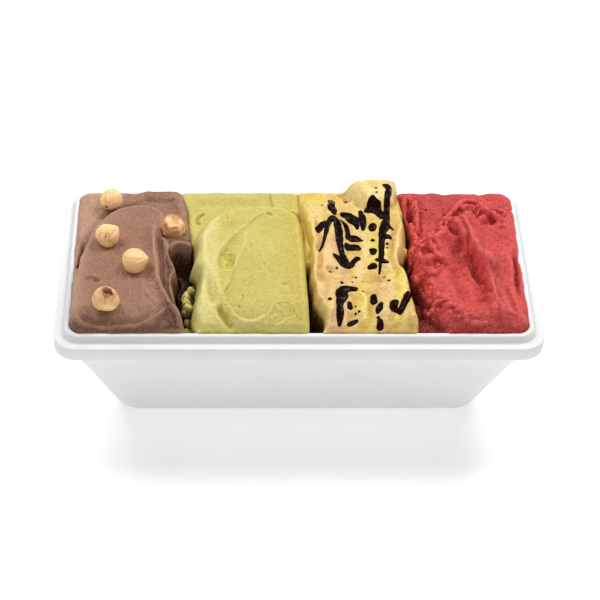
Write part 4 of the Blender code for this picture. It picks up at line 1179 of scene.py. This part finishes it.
def tub_profile():
    """(inset, height, corner radius) up the outside, over the lip and down the inside."""
    rim_bottom = LEDGE_HEIGHT - RIM_BAND
    foot = RIM_OVERHANG + WALL_SLOPE * rim_bottom
    lip_outer = LEDGE_WIDTH + LIP_DRAFT
    corners = [
        ((foot + 6.0, 0.0, FOOT_RADIUS), 0.0),
        ((foot + 0.1, 0.0, FOOT_RADIUS), FOOT_ROUND),
        ((RIM_OVERHANG, rim_bottom, BODY_RADIUS), 1.2),
        ((0.0, rim_bottom, RIM_RADIUS), EDGE_ROUND),
        ((0.0, LEDGE_HEIGHT, RIM_RADIUS), EDGE_ROUND),
        ((LEDGE_WIDTH, LEDGE_HEIGHT, LIP_RADIUS + 1.0), 0.8),
        ((lip_outer, LIP_TOP, LIP_RADIUS), 0.8),
        ((inner_inset(LIP_TOP), LIP_TOP, CAVITY_RADIUS), 0.6),
        ((inner_inset(FLOOR_THICKNESS), FLOOR_THICKNESS, CAVITY_RADIUS), 0.0),
    ]
    profile = [corners[0][0]]
    for (before, _), (corner, radius), (after, _) in zip(corners, corners[1:], corners[2:]):
        profile += fillet(before, corner, after, radius)
    return profile + [corners[-1][0]]


def add_tub(material):
    """Rings lofted along the tub's profile, closed by its two floors, with long flat spans divided."""
    profile = tub_profile()
    fine = [profile[0]]
    for low, high in zip(profile, profile[1:]):
        parts = max(1, round(math.hypot(high[0] - low[0], high[1] - low[1]) / PROFILE_STEP))
        for i in range(1, parts + 1):
            fine.append(tuple(a + (b - a) * i / parts for a, b in zip(low, high)))
    rings = []
    for inset, height, radius in fine:
        rings.append([(x, y, height) for x, y in rounded_rectangle(inset, radius)])
    count = len(rings[0])
    verts = np.array(rings).reshape(-1, 3)
    faces = []
    for level in range(len(rings) - 1):
        for i in range(count):
            j = (i + 1) % count
            a, b = level * count, (level + 1) * count
            faces.append((a + i, a + j, b + j, b + i))
    faces.append(tuple(range(count - 1, -1, -1)))
    faces.append(tuple(range((len(rings) - 1) * count, len(rings) * count)))
    obj = make_piece("foam_shell", verts, faces, material)
    stand_for(obj, "white_foam", "foam_tub")


# Hazelnuts

NUT_SEGMENTS = 128
NUT_RINGS = 84
NUT_SCALLOPS = 9
FURROW_WIDTH = 0.16
NUT_TIPS = [0.03, 0.16, 0.24, 0.05, 0.05]
NUT_TOAST = [0.08, 0.18, 0.08, 0.28, 0.7]
# Number of the nut, direction of the mark, its reach in radians and its depth in radii
NUT_MARKS = [(4, (0.10, -0.10, 0.96), 0.36, 0.20), (4, (0.46, -0.16, 0.87), 0.26, 0.08),
             (2, (-0.10, -0.82, 0.52), 0.05, 0.04), (1, (-0.40, -0.86, -0.10), 0.10, 0.04),
             (5, (-0.62, -0.62, -0.46), 0.24, 0.03)]


def nut_surface(direction, world, number):
    """Radius of the nut in each direction, and how brown and dark it is there. The tip is at +Z."""
    px, py, pz = direction.T
    tip, base = np.maximum(0, pz), np.maximum(0, -pz)
    azimuth = np.arctan2(py, px)
    middle = np.sqrt(np.maximum(1 - pz * pz, 0))
    bend = azimuth + 0.25 * noise(px, py, pz, 0.8, number)
    folds = noise(3.2 * np.cos(bend), 3.2 * np.sin(bend), 0.5 * pz, 1.0, 10 + number)
    furrows = np.maximum(0, FURROW_WIDTH - np.abs(folds)) / FURROW_WIDTH
    swell = 0.06 * noise(px, py, pz, 1.1, 20 + number) + 0.026 * noise(px, py, pz, 0.5, 30 + number)
    crease = np.exp(-(np.abs(noise(px, py, pz, 1.3, 70 + number)) / 0.05) ** 2)
    radius = 1 + swell - 0.045 * furrows * middle ** 1.5 - 0.035 * crease * middle
    scallop = np.sin(NUT_SCALLOPS * azimuth + 2 * noise(px, py, pz, 0.9, 40 + number))
    radius = radius + 0.03 * scallop * np.exp(-((pz - 0.72) / 0.14) ** 2)
    scar = np.exp(-((1 + pz) / 0.06) ** 2)
    radius = radius - 0.03 * scar
    brown = 0.6 * scar + 0.38 * furrows * middle + 0.25 * np.exp(-((pz - 1.0) / 0.03) ** 2)
    brown = brown + 0.35 * crease * middle
    brown = brown + NUT_TOAST[number - 1] * soft_step(0.4 + 1.5 * fractal(px, py, pz, 0.8, 3, 50 + number))
    dark = np.zeros(len(direction))
    for owner, way, reach, depth in NUT_MARKS:
        if owner == number:
            away = np.arccos(np.clip(world @ (np.array(way) / np.linalg.norm(way)), -1, 1))
            ragged = away / (reach * (1 + 0.35 * noise(px, py, pz, 0.25, 60 + number)))
            hole = np.exp(-ragged ** 4)
            radius = radius - depth * hole + 0.4 * depth * np.exp(-((ragged - 1.25) / 0.2) ** 2)
            dark = np.maximum(dark, hole)
            brown = brown + 0.7 * np.exp(-(ragged / 1.6) ** 2)
    return radius, tip, base, np.clip(brown, 0, 1), dark


def add_nuts(material):
    """Blanched hazelnuts, each in its socket: furrowed balls with a blunt tip and a rough scar."""
    for number, (x, y, height, size, azimuth, elevation) in enumerate(NUTS, start=1):
        flat = math.cos(math.radians(elevation))
        tip_way = Vector((flat * math.cos(math.radians(azimuth)), flat * math.sin(math.radians(azimuth)),
                          math.sin(math.radians(elevation))))
        turn = np.array(tip_way.to_track_quat("Z", "Y").to_matrix())
        polar = np.linspace(0, math.pi, NUT_RINGS + 1)[1:-1]
        around = np.arange(NUT_SEGMENTS) * 2 * math.pi / NUT_SEGMENTS
        polar_grid, around_grid = np.meshgrid(polar, around, indexing="ij")
        across = np.sin(polar_grid)
        direction = np.stack([across * np.cos(around_grid), across * np.sin(around_grid),
                              np.cos(polar_grid)], -1).reshape(-1, 3)
        direction = np.vstack([direction, [(0, 0, 1), (0, 0, -1)]])
        radius, tip, base, brown, dark = nut_surface(direction, direction @ turn.T, number)
        shape = direction * radius[:, None]
        slim = 1 - (0.10 + NUT_TIPS[number - 1]) * tip ** 2.5
        shape[:, :2] *= slim[:, None]
        shape[:, 2] += NUT_TIPS[number - 1] * tip ** 8 + 0.08 * base ** 4
        verts = (shape * size) @ turn.T + np.array([x, y, LIP_TOP + height])
        rows = len(polar)
        faces = []
        for i in range(rows - 1):
            for j in range(NUT_SEGMENTS):
                k = (j + 1) % NUT_SEGMENTS
                faces.append((i * NUT_SEGMENTS + j, (i + 1) * NUT_SEGMENTS + j, (i + 1) * NUT_SEGMENTS + k,
                              i * NUT_SEGMENTS + k))
        top, bottom = rows * NUT_SEGMENTS, rows * NUT_SEGMENTS + 1
        for j in range(NUT_SEGMENTS):
            k = (j + 1) % NUT_SEGMENTS
            faces.append((top, j, k))
            faces.append((bottom, (rows - 1) * NUT_SEGMENTS + k, (rows - 1) * NUT_SEGMENTS + j))
        obj = make_piece(f"blanched_hazelnut_{number}", verts, faces, material)
        add_attribute(obj, "brown", brown)
        add_attribute(obj, "dark", dark)
        stand_for(obj, "hazelnut", f"hazelnut_{number}")


# Roughness of each flavour, in millimetres along the surface's own normal

def chocolate_rough(x, y, z):
    return 0.05 * fractal(x, y, z, 1.3, 2, 61)


def pistachio_rough(x, y, z):
    return 0.05 * fractal(x, y, z, 1.1, 2, 62)


def custard_rough(x, y, z):
    return 0.05 * fractal(x, y, z, 1.2, 2, 63)


def raspberry_rough(x, y, z):
    torn = np.clip(1.5 * raspberry_crumbs(x, y) + 0.35 * noise(x, y, z, 7.0, 67), 0, 1)
    bent = x + 0.5 * noise(x, y, z, 2.0, 68)
    lumpy = 1.5 * (blobs(bent, y, z, 4.0, 1) - 0.62) + 0.9 * (blobs(bent, y, z, 2.0, 2) - 0.6)
    lumpy = lumpy + 0.45 * (blobs(bent, y, z, 1.1, 3) - 0.6)
    return torn * lumpy + (0.10 + 0.16 * torn) * fractal(x, y, z, 1.6, 3, 65)


# Zones of colour, from 0 to 1, among them painted light and painted shade

def chocolate_painted_shade(x, y, z):
    """Painted shade: the right-hand fold and the front made darker, and the shade along the back."""
    right = soft_step((x + 76) / 8 + 0.4 * noise(x, y, z, 8.0, 71)) * soft_step((26 - y) / 16)
    front = 0.8 * soft_step((-49 - y) / 7)
    behind = (y - 46 - 0.2 * (x + 90)) / 8 + 0.3 * noise(x, y, z, 7.0, 74)
    back = 0.7 * soft_step(behind) * soft_step((x + 92) / 14)
    return np.clip(np.maximum(np.maximum(right, front), back), 0, 1)


def chocolate_painted_light(x, y, z):
    """Painted light: the back left corner and the left edge made paler."""
    corner = soft_step((-96 - x + 5 * noise(x, y, z, 11.0, 78)) / 16) * soft_step((y - 8) / 18)
    return np.maximum(0.9 * corner, 0.35 * soft_step((-110 - x) / 8) * soft_step((y + 50) / 10))


def chocolate_smear(x, y, z):
    """A smear of pistachio along the foot of the front right corner."""
    top = LIP_TOP + 2.0 + 2.2 * soft_step((x + 72) / 10) + 0.5 * noise(x, y, z, 3.0, 77)
    return soft_step((x + 78) / 8) * soft_step((-56 - y) / 2) * soft_step((top - z) / 0.8)


def pistachio_gold(x, y, z):
    """The deeper band along the right edge and the torn clumps at the left."""
    right = soft_step((x + 14 + 4 * noise(x, y, z, 12.0, 72)) / 16)
    return np.maximum(right, 0.8 * soft_step((-56.4 - x) / 1.5) * soft_step((-16 - y) / 5))


def pistachio_pale_and_lit(x, y, z):
    """The paler, smoother roll down the left side, partly painted light from the left, and the front made
    paler as painted light.
    """
    side = 0.8 * soft_step((-41 - x) / 6) * soft_step((x + 57) / 4) * soft_step((z - LIP_TOP - 2) / 4)
    return np.maximum(side, 0.35 * soft_step((-50 - y) / 6))


# Painted light: the torn crumbs take a brighter red where their lumps catch light.
def raspberry_torn_and_lit(x, y, z):
    return raspberry_crumbs(x, y)


def raspberry_shade(x, y, z):
    """Painted shade: the back and front made duller and darker."""
    back = soft_step((y - 20) / 14) * soft_step((98 - x) / 10)
    front = soft_step((-47 - y) / 8)
    return np.maximum(0.7 * back, front)


def raspberry_crevice_shade(x, y, z):
    """Painted shade in crevices and on the smooth floor at the front left, which is paler along the lip."""
    floor = soft_step((LIP_TOP + 3.0 - z) / 4.0) * soft_step((-38 - y) / 8) * soft_step((80 - x) / 5)
    return np.maximum(painted_crevice_shade(x, y, z), 0.8 * floor) * (1 - 0.45 * soft_step((-56 - y) / 3))


def custard_blush(x, y, z):
    """The pinkish beige middle of the left half, and streaks of it elsewhere."""
    left = soft_step((x - 8) / 5) * soft_step((30 - x) / 8) * soft_step((26 - y) / 20)
    swirls = soft_step(1.8 * noise(x, 0.5 * y, z, 9.0, 73) - 0.1)
    return np.clip(0.9 * left + 0.7 * swirls, 0, 1)


# Clear yellow patches of the custard: x, y and their two radii
LEMON_PATCHES = [(35, -45, 3.5, 13), (55, -34, 4, 16), (10, 46, 9, 7), (6, 12, 3, 26), (38, 46, 4, 12),
                 (42, 2, 5, 14), (51, -54, 3, 6)]


def custard_lemon(x, y, z):
    """Clear yellow patches."""
    total = np.zeros(x.shape)
    bent = x + 2.0 * noise(x, y, z, 5.0, 75)
    for px, py, rx, ry in LEMON_PATCHES:
        total = np.maximum(total, np.exp(-((bent - px) / rx) ** 2 - ((y - py) / ry) ** 2))
    return 0.9 * total


def custard_cream(x, y, z):
    """Paler cream at the back and along the right."""
    back = soft_step((y - 24) / 20) * soft_step((x - 22) / 8)
    streaks = soft_step(1.7 * noise(1.3 * x, 0.6 * y, z, 7.0, 76) - 0.25)
    return np.clip(0.6 * back + 0.6 * streaks, 0, 1)


# Materials

def foam_material():
    """Moulded polystyrene skin: pressed beads, with faint creases between them."""
    s = Shader("white_foam")
    tone = s.mix(s.span(s.noise(0.03, 3.0), 0.3, 0.7), (0.76, 0.76, 0.76), (0.79, 0.79, 0.788))
    s.set(Base_Color=tone, Roughness=s.span(s.noise(0.002, 2.0), 0.3, 0.7, 0.5, 0.68),
          Subsurface_Weight=0.25, Subsurface_Radius=(1.0, 1.0, 1.0), Subsurface_Scale=0.002, IOR=1.4)
    s.bump(s.span(s.creases(0.0032), 0.0, 0.10), 0.00004)
    s.bump(s.noise(0.0009, 2.0), 0.00002)
    return s.material


def drizzle_material():
    """Set chocolate sauce, nearly black and glossy."""
    s = Shader("chocolate_drizzle")
    colour = s.mix(s.span(s.noise(0.004, 3.0), 0.4, 0.7), (0.006, 0.0012, 0.0008), (0.018, 0.004, 0.002))
    s.set(Base_Color=colour, Roughness=s.span(s.noise(0.0015, 3.0), 0.35, 0.7, 0.12, 0.28), IOR=1.36,
          Specular_IOR_Level=0.09)
    s.bump(s.noise(0.0012, 3.0), 0.00005)
    return s.material


def nut_material():
    """Blanched kernel: creamy, brown in its furrows and on the scar, with fine dry fibres."""
    s = Shader("hazelnut")
    colour = s.mix(s.span(s.noise(0.0035, 4.0), 0.35, 0.7), (1.0, 0.72, 0.38), (0.98, 0.59, 0.25))
    colour = s.mix(s.attribute("brown"), colour, (0.46, 0.17, 0.045))
    colour = s.mix(s.span(s.noise(0.0007, 2.0), 0.6, 0.8, 0.0, 0.3), colour, (0.66, 0.34, 0.13))
    colour = s.mix(s.attribute("dark"), colour, (0.030, 0.008, 0.005))
    s.set(Base_Color=colour, Roughness=s.span(s.noise(0.001, 2.0), 0.3, 0.7, 0.45, 0.62),
          Subsurface_Weight=0.2, Subsurface_Radius=(1.0, 0.5, 0.25), Subsurface_Scale=0.0015, IOR=1.42)
    s.bump(s.noise(0.0006, 3.0, 0.65), 0.00006)
    return s.material


def main():
    add_camera()
    add_floor()
    add_lights()
    add_tub(foam_material())
    chocolate = gelato_shader("chocolate_gelato", (0.345, 0.182, 0.110), (0.285, 0.144, 0.084),
                              # First tint: painted shade on the fold, front and back; second tint: painted
                              # light on the back left corner and left edge.
                              [("painted_shade", (0.092, 0.034, 0.016)), ("painted_light", (0.51, 0.315, 0.210)),
                               ("smear", (0.60, 0.48, 0.13))],
                              # Crest colour: painted highlight; hollow colour: painted shade; last colour:
                              # painted crevice shade.
                              (0.50, 0.290, 0.200), (0.150, 0.066, 0.036), (0.045, 0.010, 0.004),
                              roughness=(0.36, 0.55), grain=0.0009, grain_depth=0.00025, pitting=0.00026)
    gelato_piece("chocolate_scoop", "chocolate_gelato", CHOCOLATE, chocolate, chocolate_rough,
                 [("painted_shade", chocolate_painted_shade), ("painted_light", chocolate_painted_light), ("smear", chocolate_smear),
                  ("depth", painted_crevice_shade)])
    pistachio = gelato_shader("pistachio_gelato", (0.575, 0.500, 0.140), (0.50, 0.432, 0.098),
                              # The pale tint is partly real paler gelato and partly painted light on the
                              # left roll and front.
                              [("gold", (0.54, 0.39, 0.060)), ("pale", (0.73, 0.67, 0.27))],
                              # Crest colour: painted highlight; hollow colour: painted shade; last colour:
                              # painted crevice shade.
                              (0.74, 0.680, 0.270), (0.42, 0.335, 0.022), (0.055, 0.032, 0.008),
                              grain=0.0008, grain_depth=0.00024)
    gelato_piece("pistachio_scoop", "pistachio_gelato", PISTACHIO, pistachio, pistachio_rough,
                 [("gold", pistachio_gold), ("pale", pistachio_pale_and_lit), ("depth", painted_crevice_shade)])
    custard = gelato_shader("custard_gelato", (0.70, 0.485, 0.145), (0.62, 0.395, 0.088),
                            [("blush", (0.67, 0.390, 0.200)), ("lemon", (0.77, 0.62, 0.075)),
                             ("cream", (0.81, 0.64, 0.300))],
                            # Crest colour: painted highlight; hollow colour: painted shade; last colour:
                            # painted crevice shade.
                            (0.87, 0.69, 0.250), (0.48, 0.27, 0.040), (0.06, 0.022, 0.005),
                            roughness=(0.28, 0.46))
    gelato_piece("custard_scoop", "custard_gelato", CUSTARD, custard, custard_rough,
                 [("blush", custard_blush), ("lemon", custard_lemon), ("cream", custard_cream),
                  ("depth", painted_crevice_shade)])
    raspberry = gelato_shader("raspberry_sorbet", (0.63, 0.078, 0.070), (0.52, 0.048, 0.043),
                              # The torn tint is painted light on the crumbs; the shade tint is painted
                              # shade.
                              [("torn", (0.63, 0.052, 0.046)), ("shade", (0.40, 0.036, 0.032))],
                              # Crest colour: painted highlight; hollow colour: painted shade; last colour:
                              # painted crevice shade.
                              (0.82, 0.160, 0.140), (0.24, 0.006, 0.005), (0.085, 0.002, 0.002),
                              roughness=(0.48, 0.70), soft=0.25, radius=(1.0, 0.25, 0.2),
                              grain=0.0010, grain_depth=0.00036, pitting=0.00026, mottle=0.24)
    gelato_piece("raspberry_scoop", "raspberry_sorbet", RASPBERRY, raspberry, raspberry_rough,
                 [("torn", raspberry_torn_and_lit), ("shade", raspberry_shade), ("depth", raspberry_crevice_shade)])
    add_drizzle(drizzle_material())
    add_nuts(nut_material())


main()
